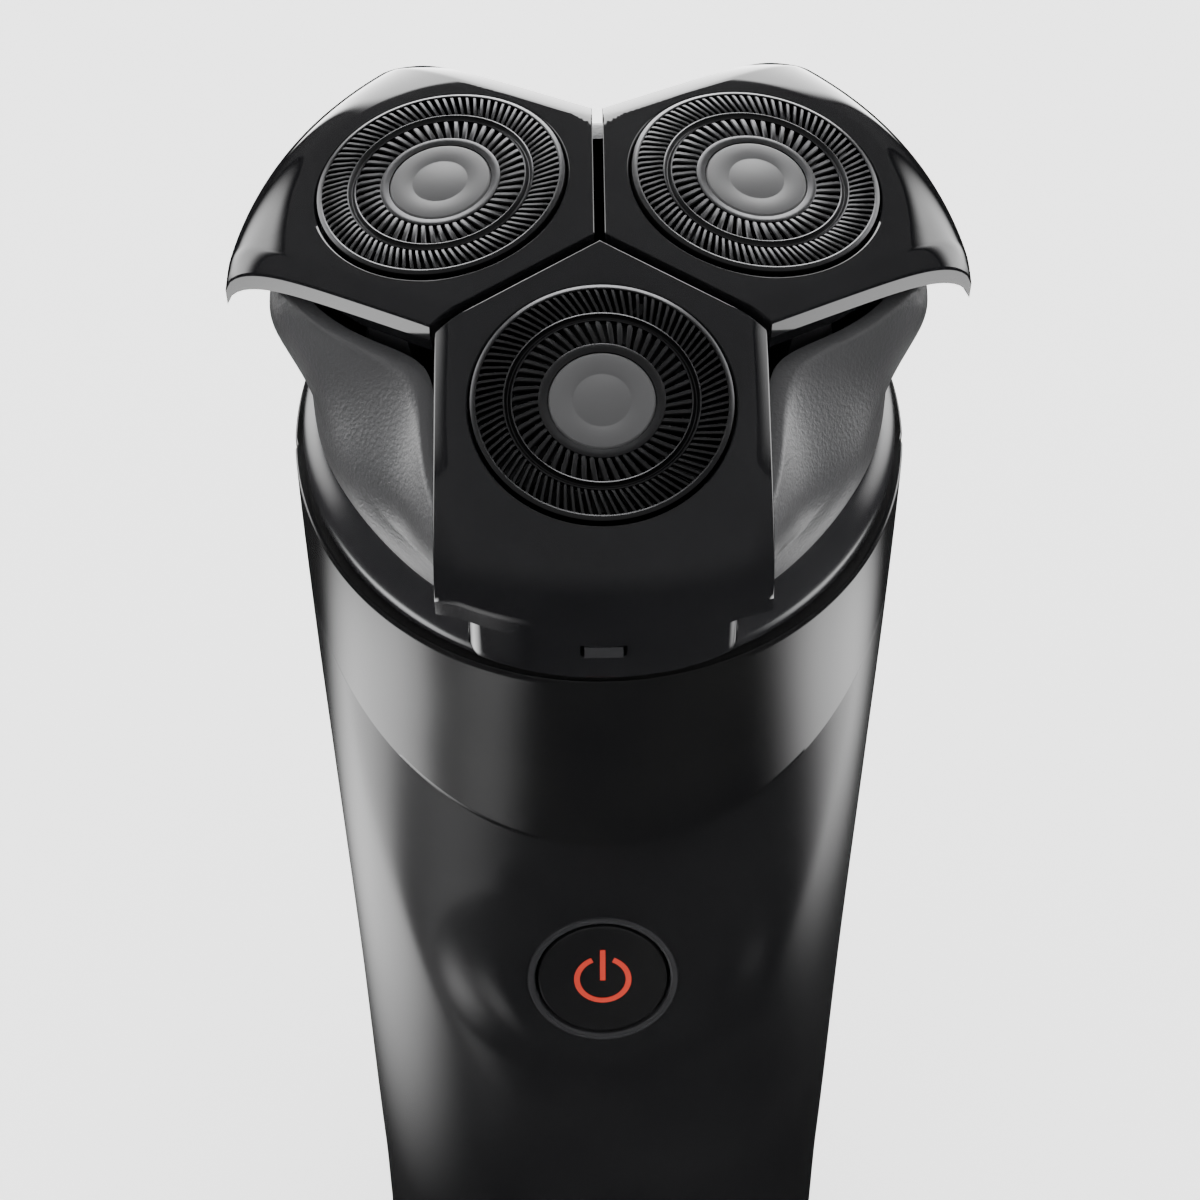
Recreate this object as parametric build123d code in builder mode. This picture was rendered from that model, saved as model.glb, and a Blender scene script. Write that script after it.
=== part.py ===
from build123d import *
import os
from math import cos, radians, sin, sqrt, tan

# A three-headed rotary shaver that stands on its base, facing -Y.  Lengths are in millimetres.
# The handle rises along +Z.  The head leans forward on it, and everything in the head is placed
# in the head's own plane: its origin is where the three petals meet, its Z is the head's axis.
os.makedirs("parts", exist_ok=True)

# ---- driving dimensions -------------------------------------------------------------------------
head_height = 158.0          # where the three petals meet, above the base
head_forward = 4.7           # and in front of the handle's centre
head_tilt = 16.5             # lean of the head's axis, degrees
clearance = 0.3              # between pieces that move past each other
snug = 0.1                   # between pieces that are pushed together
running = 0.05               # radial play of a turning pin
seat = 0.05                  # between faces that rest on each other

# Handle: height, half width, front Y and back Y of each level, from the base up.
handle_levels = [
    (0.0, 17.5, -14.0, 13.6),
    (3.0, 20.2, -16.4, 16.0),
    (14.0, 22.3, -17.8, 17.6),
    (40.0, 23.6, -18.8, 18.8),
    (70.0, 24.7, -18.8, 20.0),
    (95.0, 25.9, -19.4, 22.4),
    (112.0, 26.7, -21.0, 25.4),
    (127.0, 27.2, -23.2, 28.4),
    (144.0, 27.5, -25.4, 31.2),
]
handle_wall = 2.2
shield_thickness = 1.1
shield_half_width, shield_half_height, shield_centre = 28.0, 25.5, 127.0
seam_y = 1.5                 # plane between the front and the rear housing
base_height = 7.0

# Levels along the head's axis, below the point where the petals meet.
rim_drop = 27.0              # top of the neck collar
deck_seat = 1.4              # depth of the step that the deck sits in
gear_gap = 0.5
gear_thickness = 2.2
plate_thickness = 1.6
shelf_thickness = 1.5
gear_room_radius = 23.5      # bore of the collar round the gears
shelf_radius = 20.4
deck_flange_radius = 24.6
deck_plateau_radius = 22.4
deck_plateau_rise = 1.2      # above the rim
deck_skin = 1.2

# Petals, each with one shaving head.
petal_slope = 9.5            # fall of a petal outwards, degrees
petal_angles = {"front": 270.0, "left": 150.0, "right": 30.0}
petal_gap = 0.9
petal_half_width = 13.6
petal_wall = 1.8
petal_rim_radius = 32.2      # from the head's axis
petal_rim_depth = 7.5        # height of the rim wall
petal_side_depth = 2.6       # height of the side walls, which are shallower
petal_shoulder = 4.2         # radius of the rounded shoulder above the rim
petal_bore_radius = 10.85
holder_inner_radius = 11.3
holder_outer_radius = 12.8
holder_depth = 6.0
disc_distance = 15.6         # from the meeting point to a shaving head's axis

# Shaving head: slotted guard, cap, and the cutter that turns under it.
guard_radius = 10.7
guard_flange_radius = 11.2
guard_sheet = 0.35
guard_proud = 0.45           # height of the slotted tracks above the petal
cap_radius = 4.35
track_edges = [(5.1, 7.2), (8.1, 10.25)]   # inner and outer radius of each slotted track
cutter_radius = 9.9
cutter_arms = 9
cutter_pin_radius = 0.8
hub_radius = 3.4
hub_bottom = 7.8
pocket_length, pocket_width, pocket_depth = 4.4, 3.2, 2.2
retainer_top, retainer_thickness = 2.5, 1.0
retainer_bottom = 5.6
pivot_depth = 8.5            # axis that a petal tilts about, below its top
pivot_offset = 1.0           # and inside the shaving head's axis
pivot_radius = 0.9
post_inner, post_outer = 8.7, 10.6     # span of a carrier post, sideways
lug_outer = 12.4

# Drive train.
pinion_teeth, gear_teeth = 18, 24
motor_radius, motor_length = 8.5, 16.0
shaft_radius = 1.0
spindle_radius = 1.5
spindle_travel = 1.5
spindle_flange_radius = 2.7
boss_radius, boss_bore_radius = 4.0, 3.1
boss_top = 18.5
post_radius, post_top = 0.8, 16.8      # gear post that the spindle slides on
tip_length, tip_width = 2.6, 1.3
tip_engagement = 1.0

# Hair chamber under the petals.
chamber_top, chamber_waist = 6.0, 23.0
chamber_low_top = 10.6       # its edge under the petals
chamber_mean, chamber_lobe = 24.75, 4.75
carrier_top, carrier_bottom = 13.3, 15.3
carrier_inner, carrier_outer = 17.8, 20.1
chamber_wall = 1.6
waist_radius = 25.0
ring_radius = 26.6
ring_bore_radius = 23.0
tab_radius = 29.6
tab_half_width = 11.2
tab_bottom = 22.0
catch_width, catch_height, catch_travel = 3.2, 1.6, 0.8
catch_drop = 17.4
hinge_distance = 28.6        # rear hinge, behind the head's axis
hinge_drop = 24.5
hinge_pin_radius = 0.9
knuckle_radius = 1.6
knuckle_half_length = 4.0
ear_length = 3.0

# Power button.
button_height = 81.5
button_front = 17.6
button_lean = 11.0           # the button's face looks up by this many degrees
bezel_radius, bezel_width = 7.25, 0.75
button_travel = 0.6
button_proud = 0.3

# Trimmer at the back.
trimmer_height, trimmer_back = 113.0, 25.6
trimmer_lean = 11.0
trimmer_width, trimmer_length, trimmer_depth = 20.0, 27.0, 5.2
trimmer_tray_wall = 1.4
trimmer_pin_radius = 0.8
trimmer_end_radius = 1.7
comb_width, comb_length, comb_sheet = 18.0, 7.0, 0.5
comb_slots = 17
blade_travel = 0.8
latch_height = 88.0
latch_width, latch_length, latch_travel = 11.0, 6.0, 4.0

# Inside the handle, and its base.
board_thickness, board_half_width = 1.6, 13.0
board_bottom, board_top, board_front = 28.0, 94.0, -10.6
chassis_bottom, chassis_top = 2.55, 96.0
chassis_front, chassis_back = -6.0, -4.0
cell_radius, cell_bottom, cell_length = 7.25, 13.5, 48.5
socket_length, socket_width, socket_depth = 9.6, 5.6, 9.0
socket_wall = 1.5
socket_recess = 0.8
socket_back = 0.0            # its centre, behind the handle's
prong_radius, prong_length, prong_spacing = 1.1, 4.9, 5.8
lamp_radius, lamp_height = 1.3, 42.0

# ---- values that follow -------------------------------------------------------------------------
lean = radians(head_tilt)
head = Plane(origin=(0, -head_forward, head_height), x_dir=(1, 0, 0), z_dir=(0, -sin(lean), cos(lean)))
slope = radians(petal_slope)
spindle_distance = disc_distance * cos(slope) - (hub_bottom - tip_engagement) * sin(slope)
gear_module = 2 * spindle_distance / (pinion_teeth + gear_teeth)
pinion_pitch = gear_module * pinion_teeth / 2
gear_pitch = gear_module * gear_teeth / 2

deck_flange_top = rim_drop + 0.2
deck_flange_bottom = rim_drop + deck_seat
deck_top = rim_drop - deck_plateau_rise
gear_top = deck_flange_bottom + gear_gap
gear_bottom = gear_top + gear_thickness
plate_top = gear_bottom + 0.4
plate_bottom = plate_top + plate_thickness
collar_bottom = plate_bottom + shelf_thickness
screw_distance = (shelf_radius + gear_room_radius) / 2
screw_radius, screw_head_radius, screw_head_height = 0.8, 1.3, 0.8
ring_bottom = rim_drop - clearance
tip_level = (disc_distance * sin(slope) + (hub_bottom - tip_engagement) * cos(slope))


def save(piece, name):
    """Labels a finished sub-part and writes it as one STEP file."""
    piece.label = name
    export_step(piece, f"parts/{name}.step")
    print(name, round(piece.volume, 2), len(piece.solids()))


def around(angle, distance):
    """A point of the head's plane, by direction and distance from its axis."""
    return (distance * cos(radians(angle)), distance * sin(radians(angle)))


def petal_plane(angle):
    """The plane of a petal's flat top.  X runs outwards and down the slope, Y sideways."""
    outward = head.x_dir * cos(radians(angle)) + head.y_dir * sin(radians(angle))
    along = outward * cos(slope) - head.z_dir * sin(slope)
    normal = head.z_dir * cos(slope) + outward * sin(slope)
    return Plane(origin=head.origin, x_dir=along, z_dir=normal)


def handle_body(inset):
    """The handle's outer form, or its inside when inset is the wall."""
    with BuildPart() as body:
        for height, half_width, front, back in handle_levels:
            with BuildSketch(Plane.XY.offset(height)):
                with Locations((0, (front + back) / 2)):
                    Ellipse(half_width - inset, (back - front) / 2 - inset)
        loft()
    return body.part


def gear_wheel(plane, teeth, pitch_radius, start_angle, thickness, bore):
    """A spur gear whose straight-sided teeth are thinned a little, so that they never bind."""
    root = pitch_radius - 1.15 * gear_module
    tip = pitch_radius + 0.85 * gear_module
    half_root = radians(360.0 / teeth * 0.27)
    half_tip = radians(360.0 / teeth * 0.11)
    tooth = [
        (0.5 * root, -0.2),
        (root * cos(half_root), -root * sin(half_root)),
        (tip * cos(half_tip), -tip * sin(half_tip)),
        (tip * cos(half_tip), tip * sin(half_tip)),
        (root * cos(half_root), root * sin(half_root)),
        (0.5 * root, 0.2),
    ]
    with BuildPart() as gear:
        with BuildSketch(plane):
            Circle(root)
            with PolarLocations(0, teeth, start_angle=start_angle):
                Polygon(*tooth, align=None)
            if bore > 0:
                Circle(bore, mode=Mode.SUBTRACT)
        extrude(amount=thickness)
    return gear.part


def chamber_body(inset):
    """The chamber's three-lobed outer form, or its inside when inset is the wall."""
    middle = (chamber_top + chamber_waist) / 2
    levels = [
        (chamber_top, chamber_mean, chamber_lobe),
        (middle, chamber_mean + 0.5, chamber_lobe * 0.62),
        (chamber_waist, waist_radius, 0.0),
    ]
    with BuildPart() as body:
        for drop, mean, lobe in levels:
            points = []
            for step in range(24):
                reach = mean - inset + lobe * cos(radians(3 * (15.0 * step - 30.0)))
                points.append(around(15.0 * step, reach))
            with BuildSketch(head.offset(-drop)):
                with BuildLine():
                    Spline(*points, periodic=True)
                make_face()
        loft()
    return body.part


def petal_body(angle, inset, depth):
    """A petal's outer form down to a depth, or its inside when inset is the wall."""
    top = petal_plane(angle)
    outward = head.x_dir * cos(radians(angle)) + head.y_dir * sin(radians(angle))
    level = Plane(origin=head.origin - head.z_dir * 30, x_dir=outward, z_dir=head.z_dir)
    side = petal_half_width - inset
    rim = petal_rim_radius - inset
    corner = (petal_gap / 2 + inset) / sin(radians(60))
    shoulder = corner + side / tan(radians(60))
    with BuildPart() as body:
        with BuildSketch(level):
            with BuildLine():
                Polyline(
                    (sqrt(rim**2 - side**2), -side),
                    (shoulder, -side),
                    (corner, 0),
                    (shoulder, side),
                    (sqrt(rim**2 - side**2), side),
                )
                ThreePointArc(
                    (sqrt(rim**2 - side**2), side),
                    (rim, 0),
                    (sqrt(rim**2 - side**2), -side),
                )
            make_face()
        extrude(amount=30)
        split(bisect_by=top.offset(-inset), keep=Keep.BOTTOM)
        split(bisect_by=top.offset(-depth), keep=Keep.TOP)
        rims = body.edges().filter_by(GeomType.ELLIPSE).sort_by(Axis(head.origin, head.z_dir))
        fillet(rims[-1], petal_shoulder - inset)
    return body.part


outer_form = handle_body(0)
inner_form = handle_body(handle_wall)
rim_plane = head.offset(-rim_drop)
collar_foot = head.offset(-collar_bottom)
side_on = Plane(origin=head.origin, x_dir=head.y_dir, z_dir=head.x_dir)
seam = Plane.XZ.offset(-seam_y)
ear_middle = knuckle_half_length + clearance + ear_length / 2
ear_outside = ear_middle + ear_length / 2

# ---- front shield: a thin glossy skin over the neck, down to a rounded lower edge -----------------
with BuildPart() as shield_room:
    with BuildSketch(Plane.XZ.offset(-seam_y)):
        with Locations((0, shield_centre)):
            Ellipse(shield_half_width + snug, shield_half_height + snug)
    extrude(amount=40)
    add(handle_body(shield_thickness + snug), mode=Mode.SUBTRACT)

with BuildPart() as front_shield:
    with BuildSketch(Plane.XZ.offset(-seam_y + snug)):
        with Locations((0, shield_centre)):
            Ellipse(shield_half_width, shield_half_height)
    extrude(amount=40)
    add(outer_form, mode=Mode.INTERSECT)
    add(handle_body(shield_thickness), mode=Mode.SUBTRACT)
    split(bisect_by=rim_plane, keep=Keep.BOTTOM)
save(front_shield.part, "front_shield")

# ---- neck collar --------------------------------------------------------------------------------
with BuildPart() as neck_collar:
    add(outer_form)
    split(bisect_by=rim_plane, keep=Keep.BOTTOM)
    split(bisect_by=collar_foot.offset(seat), keep=Keep.TOP)
    add(shield_room.part, mode=Mode.SUBTRACT)
    with BuildSketch(rim_plane):
        Circle(deck_flange_radius + snug)
    extrude(amount=-deck_seat, mode=Mode.SUBTRACT)
    with BuildSketch(rim_plane):
        Circle(gear_room_radius)
    extrude(amount=-(plate_bottom - rim_drop), mode=Mode.SUBTRACT)
    with BuildSketch(rim_plane):
        Circle(shelf_radius)
    extrude(amount=-(collar_bottom - rim_drop), mode=Mode.SUBTRACT)
    with BuildSketch(head.offset(-plate_bottom)):
        with PolarLocations(screw_distance, 3, start_angle=90):
            Circle(screw_radius + running)
    extrude(amount=-shelf_thickness, mode=Mode.SUBTRACT)
    # ears of the rear hinge
    with BuildSketch(collar_foot.offset(seat)):
        with Locations((-ear_middle, hinge_distance), (ear_middle, hinge_distance)):
            Rectangle(ear_length, 2 * knuckle_radius)
    extrude(amount=collar_bottom - hinge_drop)
    with BuildSketch(side_on.offset(-ear_outside)):
        with Locations((hinge_distance, -hinge_drop)):
            Circle(knuckle_radius)
    extrude(amount=ear_length)
    with BuildSketch(side_on.offset(ear_outside)):
        with Locations((hinge_distance, -hinge_drop)):
            Circle(knuckle_radius)
    extrude(amount=-ear_length)
    with BuildSketch(side_on.offset(-ear_outside)):
        with Locations((hinge_distance, -hinge_drop)):
            Circle(hinge_pin_radius + 0.02)
    extrude(amount=2 * ear_outside, mode=Mode.SUBTRACT)
save(neck_collar.part, "neck_collar")

with BuildPart() as hinge_pin:
    with BuildSketch(side_on.offset(-ear_outside)):
        with Locations((hinge_distance, -hinge_drop)):
            Circle(hinge_pin_radius)
    extrude(amount=2 * ear_outside)
save(hinge_pin.part, "unit_hinge_pin")

# ---- drive deck, motor plate and motor ----------------------------------------------------------
spindle_spots = [around(angle, spindle_distance) for angle in petal_angles.values()]
with BuildPart() as drive_deck:
    with BuildSketch(head.offset(-deck_flange_bottom + seat)):
        Circle(deck_flange_radius)
    extrude(amount=deck_flange_bottom - deck_flange_top - seat)
    with BuildSketch(head.offset(-deck_flange_top)):
        Circle(deck_plateau_radius)
    extrude(amount=deck_flange_top - deck_top)
    fillet(drive_deck.edges().group_by(Axis(head.origin, head.z_dir))[-1], 0.6)
    with BuildSketch(head.offset(-deck_flange_bottom)):
        Circle(deck_plateau_radius - deck_skin)
    extrude(amount=deck_flange_bottom - deck_top - deck_skin, mode=Mode.SUBTRACT)
    with BuildSketch(head.offset(-deck_top - deck_skin / 2)):
        with Locations(*spindle_spots):
            Circle(boss_radius)
    extrude(amount=deck_top + deck_skin / 2 - boss_top)
    with BuildSketch(head.offset(-deck_flange_bottom)):
        with Locations(*spindle_spots):
            Circle(boss_bore_radius)
    extrude(amount=deck_flange_bottom - boss_top - 1.0, mode=Mode.SUBTRACT)
    with BuildSketch(head.offset(-boss_top)):
        with Locations(*spindle_spots):
            Circle(spindle_radius + clearance)
    extrude(amount=-2, mode=Mode.SUBTRACT)
save(drive_deck.part, "drive_deck")

with BuildPart() as motor_plate:
    with BuildSketch(head.offset(-plate_bottom + seat)):
        Circle(gear_room_radius - snug)
        Circle(shaft_radius + 0.35, mode=Mode.SUBTRACT)
        with Locations(*spindle_spots):
            Circle(1.0 + running, mode=Mode.SUBTRACT)
        with PolarLocations(screw_distance, 3, start_angle=90):
            Circle(screw_radius + running, mode=Mode.SUBTRACT)
    extrude(amount=plate_thickness - seat)
save(motor_plate.part, "motor_plate")

with BuildPart() as plate_screws:
    with BuildSketch(head.offset(-plate_top + seat)):
        with PolarLocations(screw_distance, 3, start_angle=90):
            Circle(screw_head_radius)
    extrude(amount=screw_head_height)
    with BuildSketch(head.offset(-plate_top + seat)):
        with PolarLocations(screw_distance, 3, start_angle=90):
            Circle(screw_radius)
    extrude(amount=-(plate_thickness + shelf_thickness - 0.2))
save(plate_screws.part, "plate_screws")

with BuildPart() as motor_can:
    with BuildSketch(head.offset(-plate_bottom)):
        Circle(motor_radius)
    extrude(amount=-motor_length)
    fillet(motor_can.edges().filter_by(GeomType.CIRCLE), 0.8)
    with BuildSketch(head.offset(-plate_bottom)):
        Circle(shaft_radius + running)
    extrude(amount=-3.0, mode=Mode.SUBTRACT)
save(motor_can.part, "motor_can")

with BuildPart() as motor_shaft:
    with BuildSketch(head.offset(-gear_top + 0.3)):
        Circle(shaft_radius)
    extrude(amount=-(plate_bottom + 2.6 - gear_top + 0.3))
save(motor_shaft.part, "motor_shaft")

pinion = gear_wheel(head.offset(-gear_bottom), pinion_teeth, pinion_pitch, 0, gear_thickness, shaft_radius + 0.02)
save(pinion, "drive_pinion")

for name, angle in petal_angles.items():
    spot = around(angle, spindle_distance)
    axis_foot = head.from_local_coords((spot[0], spot[1], -gear_bottom))
    wheel = Plane(origin=axis_foot, x_dir=head.x_dir, z_dir=head.z_dir)
    with BuildPart() as drive_gear:
        add(gear_wheel(wheel, gear_teeth, gear_pitch, angle + 180, gear_thickness, 0))
        with BuildSketch(wheel.offset(gear_thickness)):
            Circle(post_radius)
        extrude(amount=gear_bottom - gear_thickness - post_top)
        with BuildSketch(wheel):
            Circle(1.0)
        extrude(amount=-(plate_bottom - gear_bottom - 0.2))
    save(drive_gear.part, f"drive_gear_{name}")

    turned = head.x_dir * cos(radians(angle)) + head.y_dir * sin(radians(angle))
    axis_top = head.from_local_coords((spot[0], spot[1], 0))
    stem = Plane(origin=axis_top, x_dir=turned, z_dir=head.z_dir)
    with BuildPart() as spindle:
        with BuildSketch(stem.offset(-tip_level)):
            Rectangle(tip_length, tip_width)
        extrude(amount=-2.8)
        with BuildSketch(stem.offset(-tip_level - 2.6)):
            Circle(spindle_radius)
        extrude(amount=-(24.5 - tip_level - 2.6))
        with BuildSketch(stem.offset(-boss_top - 1.0 - clearance)):
            Circle(spindle_flange_radius)
        extrude(amount=-0.8)
        with BuildSketch(stem.offset(-24.5)):
            Circle(post_radius + running)
        extrude(amount=24.5 - post_top + spindle_travel + clearance, mode=Mode.SUBTRACT)
    save(spindle.part, f"drive_spindle_{name}")

# ---- hair chamber -------------------------------------------------------------------------------
chamber_inside = chamber_body(chamber_wall)
with BuildPart() as hair_chamber:
    add(chamber_body(0))
    # front tab
    with BuildSketch(head.offset(-tab_bottom)):
        with Locations((0, -(waist_radius + tab_radius) / 2 + 1)):
            Rectangle(2 * tab_half_width, tab_radius - waist_radius + 6)
        Circle(tab_radius, mode=Mode.INTERSECT)
    extrude(amount=tab_bottom - chamber_low_top)
    # base ring
    with BuildSketch(head.offset(-ring_bottom)):
        Circle(ring_radius)
    extrude(amount=ring_bottom - chamber_waist + 0.4)
    add(chamber_inside, mode=Mode.SUBTRACT)
    with BuildSketch(head.offset(-ring_bottom)):
        Circle(ring_bore_radius)
    extrude(amount=ring_bottom - chamber_waist + 0.4, mode=Mode.SUBTRACT)
    # the wall is lower under each petal
    for angle in petal_angles.values():
        outward = head.x_dir * cos(radians(angle)) + head.y_dir * sin(radians(angle))
        with BuildSketch(Plane(origin=head.origin - head.z_dir * chamber_low_top, x_dir=outward, z_dir=head.z_dir)):
            with Locations((22, 0)):
                Rectangle(44, 2 * petal_half_width + 1.8)
        extrude(amount=8, mode=Mode.SUBTRACT)
    # flat behind the base ring, and the knuckle of the rear hinge
    with BuildSketch(side_on.offset(-12)):
        with Locations((hinge_distance - knuckle_radius - 0.6 + 2, -hinge_drop)):
            Rectangle(4, 8)
    extrude(amount=24, mode=Mode.SUBTRACT)
    with BuildSketch(side_on.offset(-knuckle_half_length)):
        with Locations((hinge_distance, -hinge_drop)):
            Circle(knuckle_radius)
        with Locations((hinge_distance - 2, -hinge_drop)):
            Rectangle(4, 2 * knuckle_radius)
        with Locations((hinge_distance, -hinge_drop)):
            Circle(hinge_pin_radius + running, mode=Mode.SUBTRACT)
    extrude(amount=2 * knuckle_half_length)
    # slot for the catch
    with BuildSketch(Plane(origin=head.origin - head.z_dir * catch_drop, x_dir=head.x_dir, z_dir=-head.y_dir)):
        Rectangle(catch_width + 2 * clearance, catch_height + 2 * clearance)
    extrude(amount=40, mode=Mode.SUBTRACT)
save(hair_chamber.part, "hair_chamber")

with BuildPart() as unit_catch:
    with BuildSketch(Plane(origin=head.origin - head.z_dir * catch_drop, x_dir=head.x_dir, z_dir=-head.y_dir).offset(24.4)):
        Rectangle(catch_width, catch_height)
    extrude(amount=tab_radius - 24.4 + 0.3)
    with BuildSketch(Plane(origin=head.origin - head.z_dir * catch_drop, x_dir=head.x_dir, z_dir=-head.y_dir).offset(24.4)):
        Rectangle(catch_width + 2.4, catch_height + 1.4)
    extrude(amount=-1.0)
save(unit_catch.part, "unit_catch")

# ---- petal carrier and its pins -----------------------------------------------------------------
with BuildPart() as petal_carrier:
    with BuildSketch(head.offset(-carrier_bottom)):
        Circle(carrier_outer)
        Circle(carrier_inner, mode=Mode.SUBTRACT)
        with PolarLocations(24, 3, start_angle=30):
            Rectangle(11, 5)
    extrude(amount=carrier_bottom - carrier_top)
    add(chamber_body(chamber_wall + snug), mode=Mode.INTERSECT)
    for angle in petal_angles.values():
        top = petal_plane(angle)
        pivot = disc_distance - pivot_offset
        with BuildSketch(top.offset(-pivot_depth + 1.5)):
            with Locations(
                (pivot + 0.6, (post_inner + post_outer) / 2),
                (pivot + 0.6, -(post_inner + post_outer) / 2),
            ):
                Rectangle(4.2, post_outer - post_inner)
        extrude(amount=-(1.5 + 4.6))
        with BuildSketch(Plane(origin=top.origin, x_dir=top.x_dir, z_dir=-top.y_dir).offset(-14)):
            with Locations((pivot, -pivot_depth)):
                Circle(pivot_radius + 0.02)
        extrude(amount=28, mode=Mode.SUBTRACT)
save(petal_carrier.part, "petal_carrier")

with BuildPart() as pivot_pins:
    for angle in petal_angles.values():
        top = petal_plane(angle)
        across = Plane(origin=top.origin, x_dir=top.x_dir, z_dir=-top.y_dir)
        for start in (post_inner - 0.4, -lug_outer):
            with BuildSketch(across.offset(start)):
                with Locations((disc_distance - pivot_offset, -pivot_depth)):
                    Circle(pivot_radius)
            extrude(amount=lug_outer - post_inner + 0.4)
save(pivot_pins.part, "petal_pins")

# ---- petals, guards, caps, retainers and cutters -------------------------------------------------
for name, angle in petal_angles.items():
    top = petal_plane(angle)
    across = Plane(origin=top.origin, x_dir=top.x_dir, z_dir=-top.y_dir)
    disc = Plane(origin=top.from_local_coords((disc_distance, 0, 0)), x_dir=top.x_dir, z_dir=top.z_dir)
    pivot = disc_distance - pivot_offset
    petal_inside = petal_body(angle, petal_wall, petal_rim_depth + 6)
    outward = head.x_dir * cos(radians(angle)) + head.y_dir * sin(radians(angle))
    level = Plane(origin=head.origin - head.z_dir * 30, x_dir=outward, z_dir=head.z_dir)
    corner = petal_gap / 2 / sin(radians(60))
    shoulder = corner + petal_half_width / tan(radians(60))
    with BuildPart() as petal:
        add(petal_body(angle, 0, petal_rim_depth))
        add(petal_inside, mode=Mode.SUBTRACT)
        with BuildSketch(across.offset(-20)):
            with BuildLine():
                Polyline(
                    (-6, -petal_side_depth),
                    (20, -petal_side_depth),
                    (27, -petal_rim_depth - 1),
                    (-6, -petal_rim_depth - 1),
                    close=True,
                )
            make_face()
        extrude(amount=40, mode=Mode.SUBTRACT)
        with BuildSketch(disc.offset(-petal_wall / 2)):
            Circle(holder_outer_radius)
        extrude(amount=-(holder_depth - petal_wall / 2))
        with BuildSketch(level):
            Polygon(
                (corner, 0),
                (shoulder, -petal_half_width),
                (40, -petal_half_width),
                (40, petal_half_width),
                (shoulder, petal_half_width),
                align=None,
            )
        extrude(amount=35, mode=Mode.INTERSECT)
        with BuildSketch(disc.offset(-petal_wall)):
            Circle(holder_inner_radius)
        extrude(amount=-holder_depth, mode=Mode.SUBTRACT)
        with BuildSketch(disc.offset(2)):
            Circle(petal_bore_radius)
        extrude(amount=-8, mode=Mode.SUBTRACT)
        with BuildSketch(top.offset(-retainer_bottom - 2 * seat)):
            with Locations(
                (pivot, (post_outer + clearance + lug_outer) / 2),
                (pivot, -(post_outer + clearance + lug_outer) / 2),
            ):
                Rectangle(4.0, lug_outer - post_outer - clearance)
        extrude(amount=-(pivot_depth + 1.8 - retainer_bottom - 2 * seat))
        with BuildSketch(across.offset(-14)):
            with Locations((pivot, -pivot_depth)):
                Circle(pivot_radius + running)
        extrude(amount=28, mode=Mode.SUBTRACT)
    save(petal.part, f"petal_{name}")

    inner_track, outer_track = track_edges
    with BuildPart() as guard:
        with BuildSketch(disc.offset(-petal_wall - seat)):
            Circle(guard_flange_radius)
        extrude(amount=-(retainer_top - petal_wall - 2 * seat))
        with BuildSketch(disc.offset(-retainer_top + seat)):
            Circle(guard_radius)
        extrude(amount=retainer_top - seat)
        with BuildSketch(disc):
            Circle(outer_track[1])
            Circle(outer_track[0], mode=Mode.SUBTRACT)
            Circle(inner_track[1])
            Circle(inner_track[0], mode=Mode.SUBTRACT)
        extrude(amount=guard_proud)
        with BuildSketch(disc.offset(-retainer_top)):
            Circle(guard_radius - guard_sheet)
        extrude(amount=retainer_top - guard_sheet, mode=Mode.SUBTRACT)
        with BuildSketch(disc.offset(-guard_sheet)):
            Circle(outer_track[1] - guard_sheet)
            Circle(outer_track[0] + guard_sheet, mode=Mode.SUBTRACT)
            Circle(inner_track[1] - guard_sheet)
            Circle(inner_track[0] + guard_sheet, mode=Mode.SUBTRACT)
        extrude(amount=guard_proud, mode=Mode.SUBTRACT)
        with BuildSketch(disc.offset(1)):
            Circle(cutter_pin_radius + running)
        extrude(amount=-3, mode=Mode.SUBTRACT)
    save(guard.part, f"guard_{name}")

    with BuildPart() as cap:
        with BuildSketch(disc.offset(seat)):
            Circle(cap_radius)
        extrude(amount=guard_proud)
        fillet(cap.edges().group_by(Axis(disc.origin, disc.z_dir))[-1], 0.25)
        with BuildSketch(disc.offset(seat)):
            Circle(cutter_pin_radius)
        extrude(amount=-4.6)
    save(cap.part, f"cap_{name}")

    with BuildPart() as retainer:
        with BuildSketch(disc.offset(-retainer_top)):
            Circle(guard_flange_radius)
            Circle(cutter_radius + 0.4, mode=Mode.SUBTRACT)
        extrude(amount=-(retainer_bottom - retainer_top))
        with BuildSketch(disc.offset(-retainer_bottom)):
            with PolarLocations(7.8, 3, start_angle=60):
                Rectangle(5.6, 1.6)
            Circle(hub_radius + 2.0)
            Circle(hub_radius + 0.5, mode=Mode.SUBTRACT)
        extrude(amount=retainer_thickness)
    save(retainer.part, f"cutter_retainer_{name}")

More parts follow.
